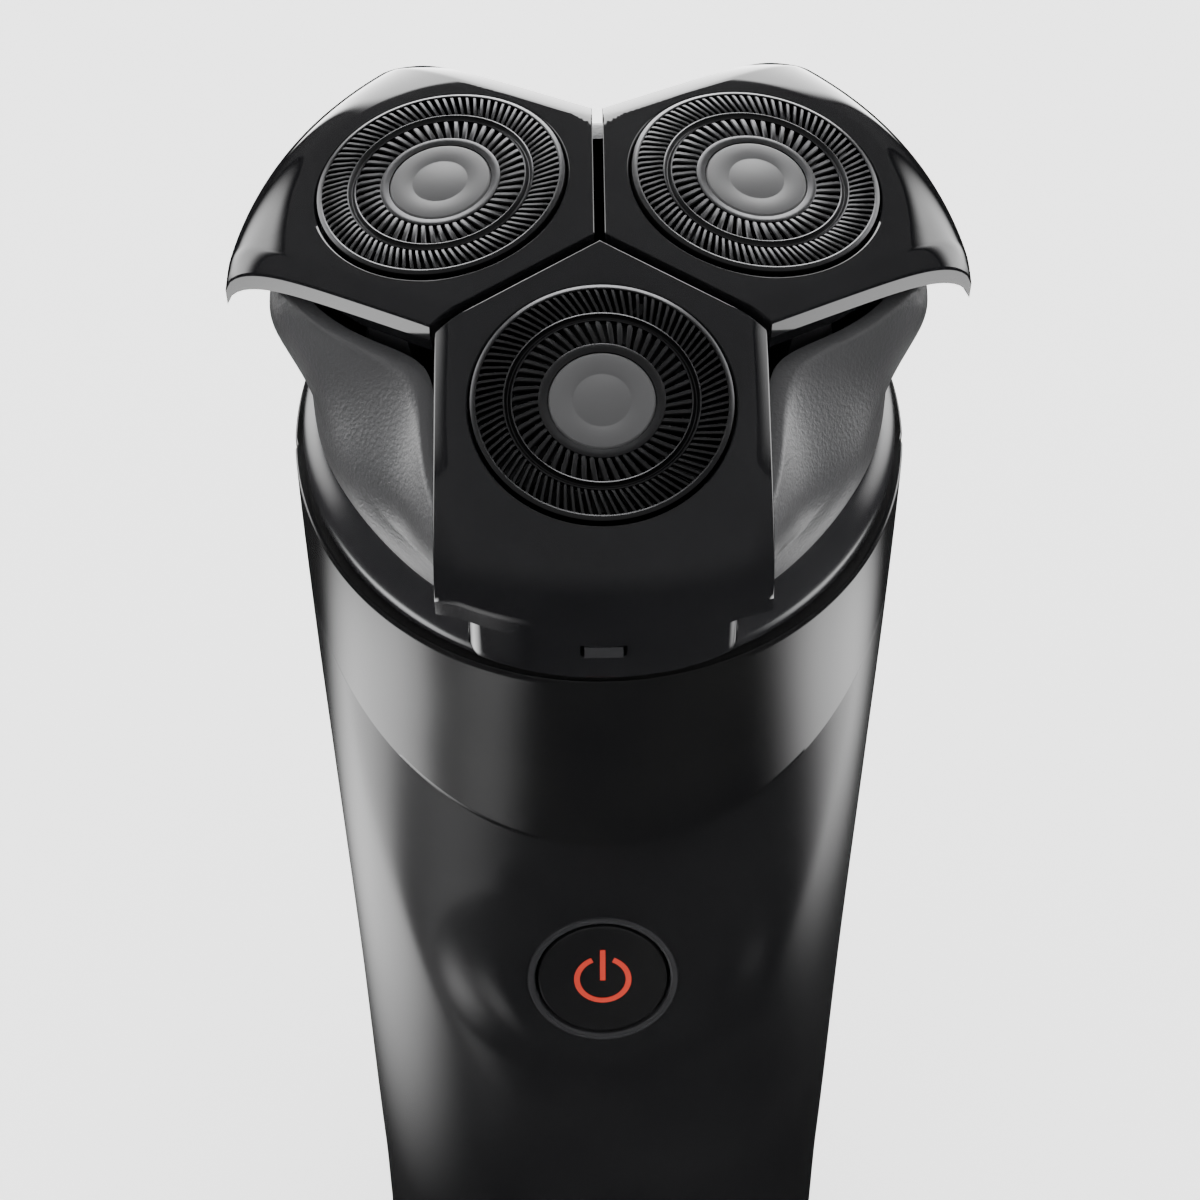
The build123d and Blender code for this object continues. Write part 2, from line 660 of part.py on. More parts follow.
    blade_top = guard_proud - guard_sheet - clearance
    with BuildPart() as cutter:
        with BuildSketch(disc.offset(-4.0)):
            Circle(hub_radius + 0.6)
            with PolarLocations(cutter_radius / 2, cutter_arms):
                Rectangle(cutter_radius - 0.2, 1.8)
        extrude(amount=0.8)
        with BuildSketch(disc.offset(-3.6)):
            with PolarLocations((inner_track[0] + inner_track[1]) / 2, cutter_arms):
                Rectangle(inner_track[1] - inner_track[0] - 2 * guard_sheet - 0.4, 0.7)
            with PolarLocations((outer_track[0] + outer_track[1]) / 2, cutter_arms):
                Rectangle(outer_track[1] - outer_track[0] - 2 * guard_sheet - 0.4, 0.7)
        extrude(amount=3.6 + blade_top)
        with BuildSketch(disc.offset(-hub_bottom)):
            Circle(hub_radius)
        extrude(amount=hub_bottom - 3.6)
        with BuildSketch(disc.offset(-hub_bottom)):
            Rectangle(pocket_length, pocket_width)
        extrude(amount=pocket_depth, mode=Mode.SUBTRACT)
        with BuildSketch(disc):
            Circle(cutter_pin_radius + running)
        extrude(amount=-5.0, mode=Mode.SUBTRACT)
    save(cutter.part, f"cutter_{name}")

# ---- power button -------------------------------------------------------------------------------
up_angle = radians(button_lean)
button_plane = Plane(origin=(0, -button_front, button_height), x_dir=(1, 0, 0), z_dir=(0, -cos(up_angle), sin(up_angle)))
bezel_inner = bezel_radius - bezel_width
button_radius = bezel_inner - clearance
button_flange = bezel_radius - 0.25
boss_reach = bezel_radius + 6.8     # backing of the dish round the button
with BuildPart() as button_bezel:
    with BuildSketch(button_plane.offset(-2.6)):
        Circle(bezel_radius)
        Circle(bezel_inner, mode=Mode.SUBTRACT)
    extrude(amount=2.85)
    fillet(button_bezel.edges().group_by(Axis(button_plane.origin, button_plane.z_dir))[-1], 0.2)
save(button_bezel.part, "button_bezel")

with BuildPart() as button:
    with BuildSketch(button_plane.offset(-3.7)):
        Circle(button_flange)
    extrude(amount=0.8)
    with BuildSketch(button_plane.offset(-3.0)):
        Circle(button_radius)
    extrude(amount=3.0 + button_proud)
    fillet(button.edges().group_by(Axis(button_plane.origin, button_plane.z_dir))[-1], 0.3)
    with BuildSketch(button_plane.offset(-3.5)):
        Circle(1.6)
    extrude(amount=-1.0)
save(button.part, "power_button")

with BuildPart() as power_icon:
    with BuildSketch(button_plane.offset(button_proud)):
        Circle(2.75)
        Circle(2.2, mode=Mode.SUBTRACT)
        with Locations((0, 2.6)):
            Rectangle(2.05, 2.0, mode=Mode.SUBTRACT)
        with Locations((0, 1.7)):
            Rectangle(0.52, 3.4)
    extrude(amount=0.1)
save(power_icon.part, "power_symbol")

# ---- trimmer geometry ---------------------------------------------------------------------------
back_angle = radians(trimmer_lean)
trim = Plane(origin=(0, trimmer_back, trimmer_height), x_dir=(-1, 0, 0), z_dir=(0, cos(back_angle), -sin(back_angle)))
trim_side = Plane(origin=trim.origin, x_dir=trim.y_dir, z_dir=trim.x_dir)
pin_along = -trimmer_length / 2 + trimmer_end_radius
pin_down = -trimmer_depth + trimmer_end_radius
trimmer_tip = trimmer_length / 2
tray_half_width = trimmer_width / 2 + clearance
tray_bottom = -trimmer_depth - clearance

# ---- latch geometry -----------------------------------------------------------------------------
latch_angle = radians(5.5)
latch_plane = Plane(origin=(0, 21.6, latch_height), x_dir=(-1, 0, 0), z_dir=(0, cos(latch_angle), -sin(latch_angle)))

# ---- housings -----------------------------------------------------------------------------------
with BuildPart() as shell:
    add(outer_form)
    add(inner_form, mode=Mode.SUBTRACT)
    split(bisect_by=Plane.XY.offset(base_height), keep=Keep.TOP)
    split(bisect_by=collar_foot, keep=Keep.BOTTOM)

with BuildPart() as dish_backing:
    with BuildSketch(button_plane.offset(-3.8)):
        Circle(boss_reach)
    extrude(amount=8)
    add(outer_form, mode=Mode.INTERSECT)

with BuildPart() as front_housing:
    add(shell.part)
    split(bisect_by=seam, keep=Keep.TOP)
    add(dish_backing.part)
    add(shield_room.part, mode=Mode.SUBTRACT)
    # shallow dish round the button
    with Locations(button_plane.from_local_coords((0, 0, 40))):
        Sphere(40, mode=Mode.SUBTRACT)
    with BuildSketch(button_plane.offset(3)):
        Circle(bezel_radius + 0.02)
    extrude(amount=-8, mode=Mode.SUBTRACT)
    with BuildSketch(Plane.XZ):
        with Locations((0, lamp_height)):
            Circle(lamp_radius + running)
    extrude(amount=40, mode=Mode.SUBTRACT)
save(front_housing.part, "front_housing")

with BuildPart() as charge_lamp:
    with BuildSketch(Plane.XZ.offset(16.0)):
        with Locations((0, lamp_height)):
            Circle(lamp_radius)
    extrude(amount=4)
    add(outer_form, mode=Mode.INTERSECT)
save(charge_lamp.part, "charge_lamp")

with BuildPart() as rear_housing:
    add(shell.part)
    split(bisect_by=seam.offset(-seat), keep=Keep.BOTTOM)
    # block that holds the trimmer's tray
    with BuildSketch(trim.offset(tray_bottom - trimmer_tray_wall)):
        with Locations((0, 0.5)):
            Rectangle(2 * (tray_half_width + trimmer_tray_wall), trimmer_length + 2 * trimmer_tray_wall + 1.6)
    extrude(amount=12)
    add(outer_form, mode=Mode.INTERSECT)
    split(bisect_by=collar_foot, keep=Keep.BOTTOM)
    with BuildSketch(trim.offset(tray_bottom)):
        with Locations((0, 0.5)):
            Rectangle(2 * tray_half_width, trimmer_length + 1.6)
    extrude(amount=16, mode=Mode.SUBTRACT)
    with BuildSketch(trim_side.offset(-tray_half_width - 1.2)):
        with Locations((pin_along, pin_down)):
            Circle(trimmer_pin_radius + running)
    extrude(amount=2 * (tray_half_width + 1.2), mode=Mode.SUBTRACT)
    # finger recess and slot of the latch
    with BuildSketch(latch_plane.offset(-1.45)):
        with Locations((0, latch_travel / 2)):
            RectangleRounded(latch_width + 2 * clearance, latch_length + latch_travel + 2 * clearance, 0.8)
    extrude(amount=6, mode=Mode.SUBTRACT)
    with BuildSketch(latch_plane.offset(-6)):
        with Locations((0, latch_travel / 2)):
            Rectangle(3.2 + 2 * clearance, 3.2 + latch_travel + 2 * clearance)
    extrude(amount=8, mode=Mode.SUBTRACT)
save(rear_housing.part, "rear_housing")

# ---- trimmer ------------------------------------------------------------------------------------
with BuildPart() as trimmer_arm:
    with BuildSketch(trim_side.offset(-trimmer_width / 2)):
        with BuildLine():
            Polyline(
                (pin_along, -trimmer_depth),
                (trimmer_tip, -trimmer_depth),
                (trimmer_tip, 2),
                (pin_along + 7.5, 2),
                (pin_along, pin_down + trimmer_end_radius),
                close=True,
            )
        make_face()
        with Locations((pin_along, pin_down)):
            Circle(trimmer_end_radius)
    extrude(amount=trimmer_width)
    add(outer_form, mode=Mode.INTERSECT)
    # bed of the comb and its blade
    with BuildSketch(trim.offset(-2.9)):
        with Locations((0, trimmer_tip - 3)):
            Rectangle(comb_width + 0.4, 6.2)
    extrude(amount=6, mode=Mode.SUBTRACT)
    with BuildSketch(trim_side.offset(-trimmer_width)):
        with Locations((pin_along, pin_down)):
            Circle(trimmer_pin_radius + 0.02)
    extrude(amount=2 * trimmer_width, mode=Mode.SUBTRACT)
save(trimmer_arm.part, "trimmer_arm")

with BuildPart() as trimmer_pin:
    with BuildSketch(trim_side.offset(-tray_half_width - 1.1)):
        with Locations((pin_along, pin_down)):
            Circle(trimmer_pin_radius)
    extrude(amount=2 * (tray_half_width + 1.1))
save(trimmer_pin.part, "trimmer_pin")

pitch = comb_width / comb_slots
with BuildPart() as trimmer_comb:
    with BuildSketch(trim.offset(-2.85)):
        with Locations((0, trimmer_tip - 2.4)):
            Rectangle(comb_width, 4.8)
    extrude(amount=comb_sheet)
    with BuildSketch(trim.offset(-2.85)):
        with Locations((0, trimmer_tip)):
            with GridLocations(pitch, 1, comb_slots, 1):
                Rectangle(0.55, 1.2)
    extrude(amount=comb_sheet)
save(trimmer_comb.part, "trimmer_comb")

with BuildPart() as trimmer_blade:
    with BuildSketch(trim.offset(-2.85 + comb_sheet + 0.1)):
        with Locations((0, trimmer_tip - 2.0)):
            Rectangle(comb_width - 2 * blade_travel - 1.0, 3.4)
        with Locations((0, trimmer_tip - 0.1)):
            with GridLocations(pitch, 1, comb_slots - 3, 1):
                Rectangle(0.55, 0.8)
    extrude(amount=comb_sheet)
save(trimmer_blade.part, "trimmer_blade")

with BuildPart() as trimmer_latch:
    with BuildSketch(latch_plane.offset(-1.35)):
        RectangleRounded(latch_width, latch_length, 0.6)
    extrude(amount=1.2)
    with BuildSketch(latch_plane.offset(-0.4)):
        with GridLocations(1, 1.5, 1, 3):
            Rectangle(latch_width - 2.4, 0.6)
    extrude(amount=0.75)
    with BuildSketch(latch_plane.offset(-2.8)):
        Rectangle(3.2, 3.2)
    extrude(amount=2)
    with BuildSketch(latch_plane.offset(-3.5)):
        Rectangle(5.4, 5.0)
    extrude(amount=0.8)
save(trimmer_latch.part, "trimmer_latch")

# ---- base, socket and what the handle holds -----------------------------------------------------
block_length = socket_length + 2 * socket_wall
block_width = socket_width + 2 * socket_wall
socket_top = socket_recess + socket_depth
with BuildPart() as plug_ring:
    add(handle_body(handle_wall + snug))
    split(bisect_by=Plane.XY.offset(base_height - 0.1), keep=Keep.TOP)
    split(bisect_by=Plane.XY.offset(base_height + 3), keep=Keep.BOTTOM)
plug_slice = plug_ring.part
with BuildPart() as base_hollow:
    add(handle_body(handle_wall + 1.7))
    split(bisect_by=Plane.XY.offset(2.5), keep=Keep.TOP)
    split(bisect_by=Plane.XY.offset(base_height + 4), keep=Keep.BOTTOM)
hollow_slice = base_hollow.part
with BuildPart() as base_cap:
    add(outer_form)
    split(bisect_by=Plane.XY.offset(base_height - seat), keep=Keep.BOTTOM)
    add(plug_slice)
    add(hollow_slice, mode=Mode.SUBTRACT)
    with BuildSketch():
        with Locations((0, socket_back)):
            Rectangle(block_length + 2 * seat, block_width + 2 * seat)
    extrude(amount=base_height, mode=Mode.SUBTRACT)
save(base_cap.part, "base_cap")

with BuildPart() as charge_socket:
    with BuildSketch(Plane.XY.offset(socket_recess)):
        with Locations((0, socket_back)):
            Rectangle(block_length, block_width)
    extrude(amount=socket_depth + socket_wall)
    with BuildSketch(Plane.XY.offset(socket_recess)):
        with Locations((0, socket_back)):
            SlotOverall(socket_length, socket_width)
    extrude(amount=socket_depth, mode=Mode.SUBTRACT)
save(charge_socket.part, "charge_socket")

with BuildPart() as socket_pins:
    with BuildSketch(Plane.XY.offset(socket_top - seat)):
        with Locations((-prong_spacing / 2, socket_back), (prong_spacing / 2, socket_back)):
            Circle(prong_radius)
    extrude(amount=-prong_length)
save(socket_pins.part, "charge_pins")

cell_shelf = cell_bottom - 1.4
with BuildPart() as chassis:
    with BuildSketch(Plane.XZ.offset(-chassis_back)):
        with Locations((0, (chassis_bottom + chassis_top) / 2)):
            Rectangle(2 * board_half_width + 0.6, chassis_top - chassis_bottom)
        with Locations((0, socket_top / 2)):
            Rectangle(block_length + 1, socket_top + 6, mode=Mode.SUBTRACT)
    extrude(amount=chassis_back - chassis_front)
    with BuildSketch(Plane.XY.offset(cell_shelf)):
        with Locations((0, chassis_back + cell_radius)):
            Rectangle(13, 2 * cell_radius + 0.6)
    extrude(amount=1.35)
    for level in (24.0, 50.0):
        with BuildSketch(Plane.XY.offset(level)):
            with Locations((0, chassis_back + cell_radius / 2 - 0.2)):
                Rectangle(2 * cell_radius + 3, cell_radius)
            with Locations((0, chassis_back + cell_radius + 0.1)):
                Circle(cell_radius + 0.05, mode=Mode.SUBTRACT)
        extrude(amount=4)
    with BuildSketch(Plane.XZ.offset(-chassis_front)):
        with Locations((-10, 34), (10, 34), (-10, 88), (10, 88)):
            Circle(1.6)
    extrude(amount=-board_front - board_thickness + chassis_front - seat)
save(chassis.part, "chassis")

with BuildPart() as battery_cell:
    with BuildSketch(Plane.XY.offset(cell_bottom)):
        with Locations((0, chassis_back + cell_radius + 0.1)):
            Circle(cell_radius)
    extrude(amount=cell_length)
    fillet(battery_cell.edges().filter_by(GeomType.CIRCLE), 0.6)
    with BuildSketch(Plane.XY.offset(cell_bottom + cell_length)):
        with Locations((0, chassis_back + cell_radius + 0.1)):
            Circle(2.6)
    extrude(amount=1.0)
save(battery_cell.part, "battery_cell")

with BuildPart() as circuit_board:
    with BuildSketch(Plane.XZ.offset(-board_front - board_thickness)):
        with Locations((0, (board_bottom + board_top) / 2)):
            Rectangle(2 * board_half_width, board_top - board_bottom)
    extrude(amount=board_thickness)
    with BuildSketch(Plane.XZ.offset(-board_front)):
        with Locations((-6, 58), (5, 62)):
            Rectangle(7, 7)
        with Locations((7, 36)):
            Rectangle(4, 9)
        with Locations((-8, 74), (9, 74)):
            Rectangle(3, 5)
    extrude(amount=1.4)
save(circuit_board.part, "circuit_board")

with BuildPart() as power_switch:
    with BuildSketch(Plane.XZ.offset(-board_front + seat)):
        with Locations((0, button_height - 0.9)):
            Rectangle(6, 6)
    extrude(amount=1.3)
    with BuildSketch(Plane.XZ.offset(-board_front + seat)):
        with Locations((0, button_height - 0.9)):
            Circle(1.7)
    extrude(amount=1.6)
save(power_switch.part, "power_switch")
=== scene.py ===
import bmesh
import bpy
import numpy as np
from math import cos, pi, radians, sin, sqrt, tan
from mathutils import Matrix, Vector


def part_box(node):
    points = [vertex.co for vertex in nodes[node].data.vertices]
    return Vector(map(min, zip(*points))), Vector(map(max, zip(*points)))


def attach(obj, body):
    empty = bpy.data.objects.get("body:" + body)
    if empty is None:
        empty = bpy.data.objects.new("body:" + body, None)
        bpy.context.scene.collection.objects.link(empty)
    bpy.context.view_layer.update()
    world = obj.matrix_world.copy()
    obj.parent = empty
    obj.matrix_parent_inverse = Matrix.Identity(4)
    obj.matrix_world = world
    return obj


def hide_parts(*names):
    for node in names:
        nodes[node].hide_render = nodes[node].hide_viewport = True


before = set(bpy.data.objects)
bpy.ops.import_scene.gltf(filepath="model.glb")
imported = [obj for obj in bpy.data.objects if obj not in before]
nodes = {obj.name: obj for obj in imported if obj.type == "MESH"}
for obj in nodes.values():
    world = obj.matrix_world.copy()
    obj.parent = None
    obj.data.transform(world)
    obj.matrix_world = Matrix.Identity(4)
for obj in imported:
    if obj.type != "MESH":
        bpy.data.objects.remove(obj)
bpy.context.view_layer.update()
mm = 0.001

# the head's own axes: x to the right, y back and up, z along the way it leans
head = {"origin": (0, -4.7, 158.0), "tilt": 16.5, "petalSlope": 9.5}
tilt = radians(head["tilt"])
slope = radians(head["petalSlope"])
headOrigin = np.array(head["origin"])
headAxes = np.array([[1, 0, 0], [0, cos(tilt), sin(tilt)], [0, -sin(tilt), cos(tilt)]])
petalAngles = {"front": 270.0, "left": 150.0, "right": 30.0}


def toWorld(points):
    # head coordinates in millimetres to metres in the shared frame
    return (headOrigin + np.asarray(points, float) @ headAxes) * mm


def petalToWorld(points, angle):
    # petal coordinates: first outwards down the slope, second sideways, third off its flat
    a = radians(angle)
    out = np.array([cos(a), sin(a), 0])
    along = out * cos(slope) + np.array([0, 0, -sin(slope)])
    side = np.array([-sin(a), cos(a), 0])
    up = out * sin(slope) + np.array([0, 0, cos(slope)])
    return toWorld(np.asarray(points, float) @ np.array([along, side, up]))


# camera
view = {"focal": 90.0, "sensor": 36.0, "elevation": 57.06, "azimuth": -0.96, "roll": 0.24,
        "shift": (-0.03, 30.22), "distance": 247.6}


def addCamera():
    el, az, roll = (radians(view[k]) for k in ("elevation", "azimuth", "roll"))
    back = np.array([sin(az) * cos(el), -cos(az) * cos(el), sin(el)])
    right = np.cross([0, 0, 1], back)
    right /= np.linalg.norm(right)
    up = np.cross(back, right)
    right, up = cos(roll) * right + sin(roll) * up, cos(roll) * up - sin(roll) * right
    place = back * view["distance"] - right * view["shift"][0] - up * view["shift"][1]
    data = bpy.data.cameras.new("camera")
    data.lens, data.sensor_width = view["focal"], view["sensor"]
    data.clip_start, data.clip_end = 0.01, 50
    camera = bpy.data.objects.new("camera", data)
    bpy.context.scene.collection.objects.link(camera)
    turn = np.array([right, up, back]) @ headAxes
    matrix = np.eye(4)
    matrix[:3, :3] = turn.T
    matrix[:3, 3] = toWorld(place)
    camera.matrix_world = Matrix(matrix.tolist())
    bpy.context.scene.camera = camera


addCamera()
print("camera done")


# materials
def nodeTree(name):
    material = bpy.data.materials.new(name)
    material.use_nodes = True
    tree = material.node_tree
    return material, tree, tree.nodes["Principled BSDF"]


def addNoise(tree, scale, detail=4.0, kind="ShaderNodeTexNoise"):
    place = tree.nodes.get("place") or tree.nodes.new("ShaderNodeTexCoord")
    place.name = "place"
    noise = tree.nodes.new(kind)
    noise.inputs["Scale"].default_value = scale
    if "Detail" in noise.inputs:
        noise.inputs["Detail"].default_value = detail
    tree.links.new(place.outputs["Object"], noise.inputs["Vector"])
    return noise


def spread(tree, source, low, high, start=0.3, stop=0.7):
    ramp = tree.nodes.new("ShaderNodeMapRange")
    ramp.inputs["From Min"].default_value, ramp.inputs["From Max"].default_value = start, stop
    ramp.inputs["To Min"].default_value, ramp.inputs["To Max"].default_value = low, high
    tree.links.new(source, ramp.inputs["Value"])
    return ramp.outputs["Result"]


def tint(tree, source, low, high):
    mix = tree.nodes.new("ShaderNodeMix")
    mix.data_type = "RGBA"
    mix.inputs[6].default_value, mix.inputs[7].default_value = (*low, 1), (*high, 1)
    tree.links.new(source, mix.inputs[0])
    return mix.outputs[2]


def plastic(name, dark, light, rough, grain=900.0, bump=0.02, depth=0.00002, specular=0.5, patch=60.0, cells=0.0):
    # moulded plastic: patchy colour, uneven polish and a fine skin
    material, tree, shader = nodeTree(name)
    wide = addNoise(tree, patch, 3.0)
    fine = addNoise(tree, grain, 5.0)
    tree.links.new(tint(tree, spread(tree, wide.outputs["Fac"], 0, 1), dark, light), shader.inputs["Base Color"])
    tree.links.new(spread(tree, wide.outputs["Fac"], *rough), shader.inputs["Roughness"])
    shader.inputs["Specular IOR Level"].default_value = specular
    skin = tree.nodes.new("ShaderNodeBump")
    skin.inputs["Strength"].default_value = bump
    skin.inputs["Distance"].default_value = depth
    height = fine.outputs["Fac"]
    if cells:
        cell = addNoise(tree, cells, kind="ShaderNodeTexVoronoi")
        cell.feature = "SMOOTH_F1"
        cell.inputs["Smoothness"].default_value = 0.6
        blend = tree.nodes.new("ShaderNodeMath")
        blend.operation = "ADD"
        tree.links.new(cell.outputs["Distance"], blend.inputs[0])
        tree.links.new(spread(tree, fine.outputs["Fac"], 0, 0.35), blend.inputs[1])
        height = blend.outputs[0]
    tree.links.new(height, skin.inputs["Height"])
    tree.links.new(skin.outputs["Normal"], shader.inputs["Normal"])
    return material


def metal(name, dark, light, rough, grain=1500.0, bump=0.05, depth=0.00002):
    material, tree, shader = nodeTree(name)
    fine = addNoise(tree, grain, 6.0)
    wide = addNoise(tree, 120.0, 2.0)
    tree.links.new(tint(tree, spread(tree, wide.outputs["Fac"], 0, 1), dark, light), shader.inputs["Base Color"])
    tree.links.new(spread(tree, fine.outputs["Fac"], *rough), shader.inputs["Roughness"])
    shader.inputs["Metallic"].default_value = 1.0
    skin = tree.nodes.new("ShaderNodeBump")
    skin.inputs["Strength"].default_value = bump
    skin.inputs["Distance"].default_value = depth
    tree.links.new(fine.outputs["Fac"], skin.inputs["Height"])
    tree.links.new(skin.outputs["Normal"], shader.inputs["Normal"])
    return material


finish = {
    "petal": plastic("petalGloss", (0.004, 0.004, 0.0045), (0.006, 0.006, 0.0065), (0.05, 0.065), bump=0.003),
    "housing": plastic("housingGloss", (0.004, 0.004, 0.0045), (0.006, 0.006, 0.0065), (0.24, 0.255), bump=0.006),
    "shield": plastic("shieldGloss", (0.003, 0.003, 0.0035), (0.005, 0.005, 0.005), (0.2, 0.215), bump=0.005),
    "collar": plastic("collarGloss", (0.005, 0.005, 0.005), (0.008, 0.008, 0.008), (0.15, 0.2)),
    "skin": plastic("grainedSkin", (0.024, 0.024, 0.025), (0.032, 0.032, 0.034), (0.36, 0.44), grain=5000.0,
                    bump=0.35, depth=0.00006, specular=0.6, cells=2600.0),
    "band": plastic("smoothBand", (0.008, 0.008, 0.009), (0.012, 0.012, 0.013), (0.2, 0.26), specular=0.6),
    "cap": plastic("capMatte", (0.026, 0.026, 0.027), (0.032, 0.032, 0.033), (0.42, 0.5), grain=2500.0,
                   bump=0.1, depth=0.00003),
    "bezel": plastic("bezelGloss", (0.012, 0.012, 0.013), (0.018, 0.018, 0.019), (0.16, 0.22)),
    "button": plastic("buttonGloss", (0.004, 0.004, 0.0045), (0.006, 0.006, 0.006), (0.2, 0.26)),
    "symbol": plastic("symbolOrange", (0.3, 0.012, 0.003), (0.36, 0.016, 0.004), (0.45, 0.55), specular=0.2),
    "inner": plastic("innerMatte", (0.012, 0.012, 0.013), (0.02, 0.02, 0.021), (0.45, 0.6), bump=0.1),
    "gray": plastic("innerGray", (0.2, 0.2, 0.21), (0.26, 0.26, 0.27), (0.45, 0.6), bump=0.1),
    "gear": plastic("gearWhite", (0.66, 0.65, 0.6), (0.76, 0.75, 0.7), (0.35, 0.45), bump=0.08),
    "latch": plastic("latchGray", (0.05, 0.05, 0.053), (0.065, 0.065, 0.068), (0.38, 0.46), bump=0.15, depth=0.00004),
    "lamp": plastic("lampLens", (0.25, 0.28, 0.26), (0.32, 0.34, 0.32), (0.1, 0.16)),
    "wrap": plastic("cellWrap", (0.05, 0.13, 0.3), (0.07, 0.17, 0.36), (0.25, 0.35)),
    "board": plastic("boardGreen", (0.012, 0.09, 0.035), (0.02, 0.12, 0.05), (0.3, 0.4)),
    "guard": metal("guardDark", (0.05, 0.05, 0.052), (0.07, 0.07, 0.072), (0.28, 0.38)),
    "cutter": metal("cutterDark", (0.03, 0.03, 0.031), (0.05, 0.05, 0.052), (0.3, 0.42)),
    "steel": metal("groundSteel", (0.45, 0.45, 0.46), (0.58, 0.58, 0.59), (0.22, 0.38)),
    "brass": metal("contactBrass", (0.6, 0.45, 0.2), (0.72, 0.55, 0.28), (0.2, 0.3)),
}
print("finishes done")


# mesh tools
def strip(count, wrap):
    first = np.arange(count if wrap else count - 1)
    return first, (first + 1) % count


def gridFaces(nu, nv, wrapU=False, wrapV=False):
    # quads between neighbouring rows and columns of a grid
    a, b = strip(nu, wrapU)
    c, d = strip(nv, wrapV)
    low, high = a[:, None] * nv, b[:, None] * nv
    return np.stack([low + c, high + c, high + d, low + d], -1).reshape(-1, 4)


def signedVolume(points, faces):
    p = points[faces]
    first = np.einsum("ij,ij->i", p[:, 0], np.cross(p[:, 1], p[:, 2]))
    second = np.einsum("ij,ij->i", p[:, 0], np.cross(p[:, 2], p[:, 3]))
    return float((first + second).sum())


def addMesh(name, points, faces, material, sharp=38.0):
    # a closed mesh turned so that its faces point outwards; points in metres
    points = np.asarray(points, float).reshape(-1, 3)
    centre = points.mean(0)
    if signedVolume(points - centre, faces) < 0:
        faces = faces[:, ::-1]
    data = bpy.data.meshes.new(name)
    data.from_pydata(points.tolist(), [], faces.tolist())
    shape = bmesh.new()
    shape.from_mesh(data)
    bmesh.ops.remove_doubles(shape, verts=shape.verts, dist=2e-7)
    shape.to_mesh(data)
    shape.free()
    data.validate()
    piece = bpy.data.objects.new(name, data)
    bpy.context.scene.collection.objects.link(piece)
    smooth(piece, sharp)
    data.materials.append(material)
    return piece


def smooth(piece, sharp=38.0):
    data = piece.data
    data.polygons.foreach_set("use_smooth", np.ones(len(data.polygons), bool))
    data.set_sharp_from_angle(angle=radians(sharp))
    data.update()


def place(piece, body, slotName, *replaced):
    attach(piece, body)
    if replaced:
        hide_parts(*replaced)
    return piece


def shellMesh(name, outer, inner, material, wrapU=False, sharp=38.0):
    # outer and inner sheets on one grid, joined round their edges
    nu, nv = outer.shape[:2]
    loop = np.concatenate([outer, inner[:, ::-1]], 1)
    faces = [gridFaces(nu, 2 * nv, wrapU, True)]
    if not wrapU:
        for row, turned in ((0, False), (nu - 1, True)):
            a = row * 2 * nv + np.arange(nv - 1)
            b = row * 2 * nv + 2 * nv - 1 - np.arange(nv - 1)
            quad = np.stack([a, a + 1, b - 1, b], -1)
            faces.append(quad[:, ::-1] if turned else quad)
    return addMesh(name, loop.reshape(-1, 3), np.concatenate(faces), material, sharp)


def ring(profile, segments=128):
    # a profile of radius and height, carried round a circle: closed on itself, or closed on the
    # axis when both its ends lie there
    profile = np.asarray(profile, float)
    solid = profile[0, 0] < 0.01 and profile[-1, 0] < 0.01
    profile[profile[:, 0] < 0.01, 0] = 0
    turn = np.linspace(0, 2 * pi, segments, endpoint=False)
    x = profile[None, :, 0] * np.cos(turn)[:, None]
    y = profile[None, :, 0] * np.sin(turn)[:, None]
    z = np.broadcast_to(profile[None, :, 1], x.shape)
    return np.stack([x, y, z], -1), gridFaces(segments, len(profile), True, not solid)


def carve(piece, cutter):
    # takes one closed shape out of another and bakes the result
    cut = piece.modifiers.new("carve", "BOOLEAN")
    cut.operation, cut.solver, cut.object = "DIFFERENCE", "EXACT", cutter
    bake(piece)
    bpy.data.objects.remove(cutter)


def bake(piece):
    graph = bpy.context.evaluated_depsgraph_get()
    graph.update()
    data = bpy.data.meshes.new_from_object(piece.evaluated_get(graph))
    piece.modifiers.clear()
    piece.data = data


def blockMesh(name, size, toPlace, material, corner=0.0, steps=6):
    # a rounded upright bar: its plan is a rectangle with round corners, its ends are flat
    sx, sy, z0, z1 = size
    turn = np.linspace(0, pi / 2, steps + 1) if corner else np.array([0.0])
    plan = []
    for k, (cx, cy) in enumerate(((1, 1), (-1, 1), (-1, -1), (1, -1))):
        a = turn + k * pi / 2
        plan.append(np.stack([cx * (sx / 2 - corner) + corner * np.cos(a),
                              cy * (sy / 2 - corner) + corner * np.sin(a)], -1))
    plan = np.concatenate(plan)
    rows = [plan * 0, plan, plan, plan * 0]
    points = np.stack([np.concatenate([r, np.full((len(plan), 1), z)], 1)
                       for r, z in zip(rows, (z0, z0, z1, z1))], 1)
    return addMesh(name, toPlace(points), gridFaces(len(plan), 4, True), material)


# petals
petal = {"half": 13.6, "gap": 0.9, "rim": 32.2, "disc": 15.6, "flat": 12.3, "bore": 10.85, "wall": 1.7,
         "shoulder": 5.4, "skirt": 2.05, "bevelWidth": 1.9, "bevelDrop": 0.85, "apron": 5.1, "pivot": 14.6,
         "lug": 11.65, "lugHeight": -7.85}


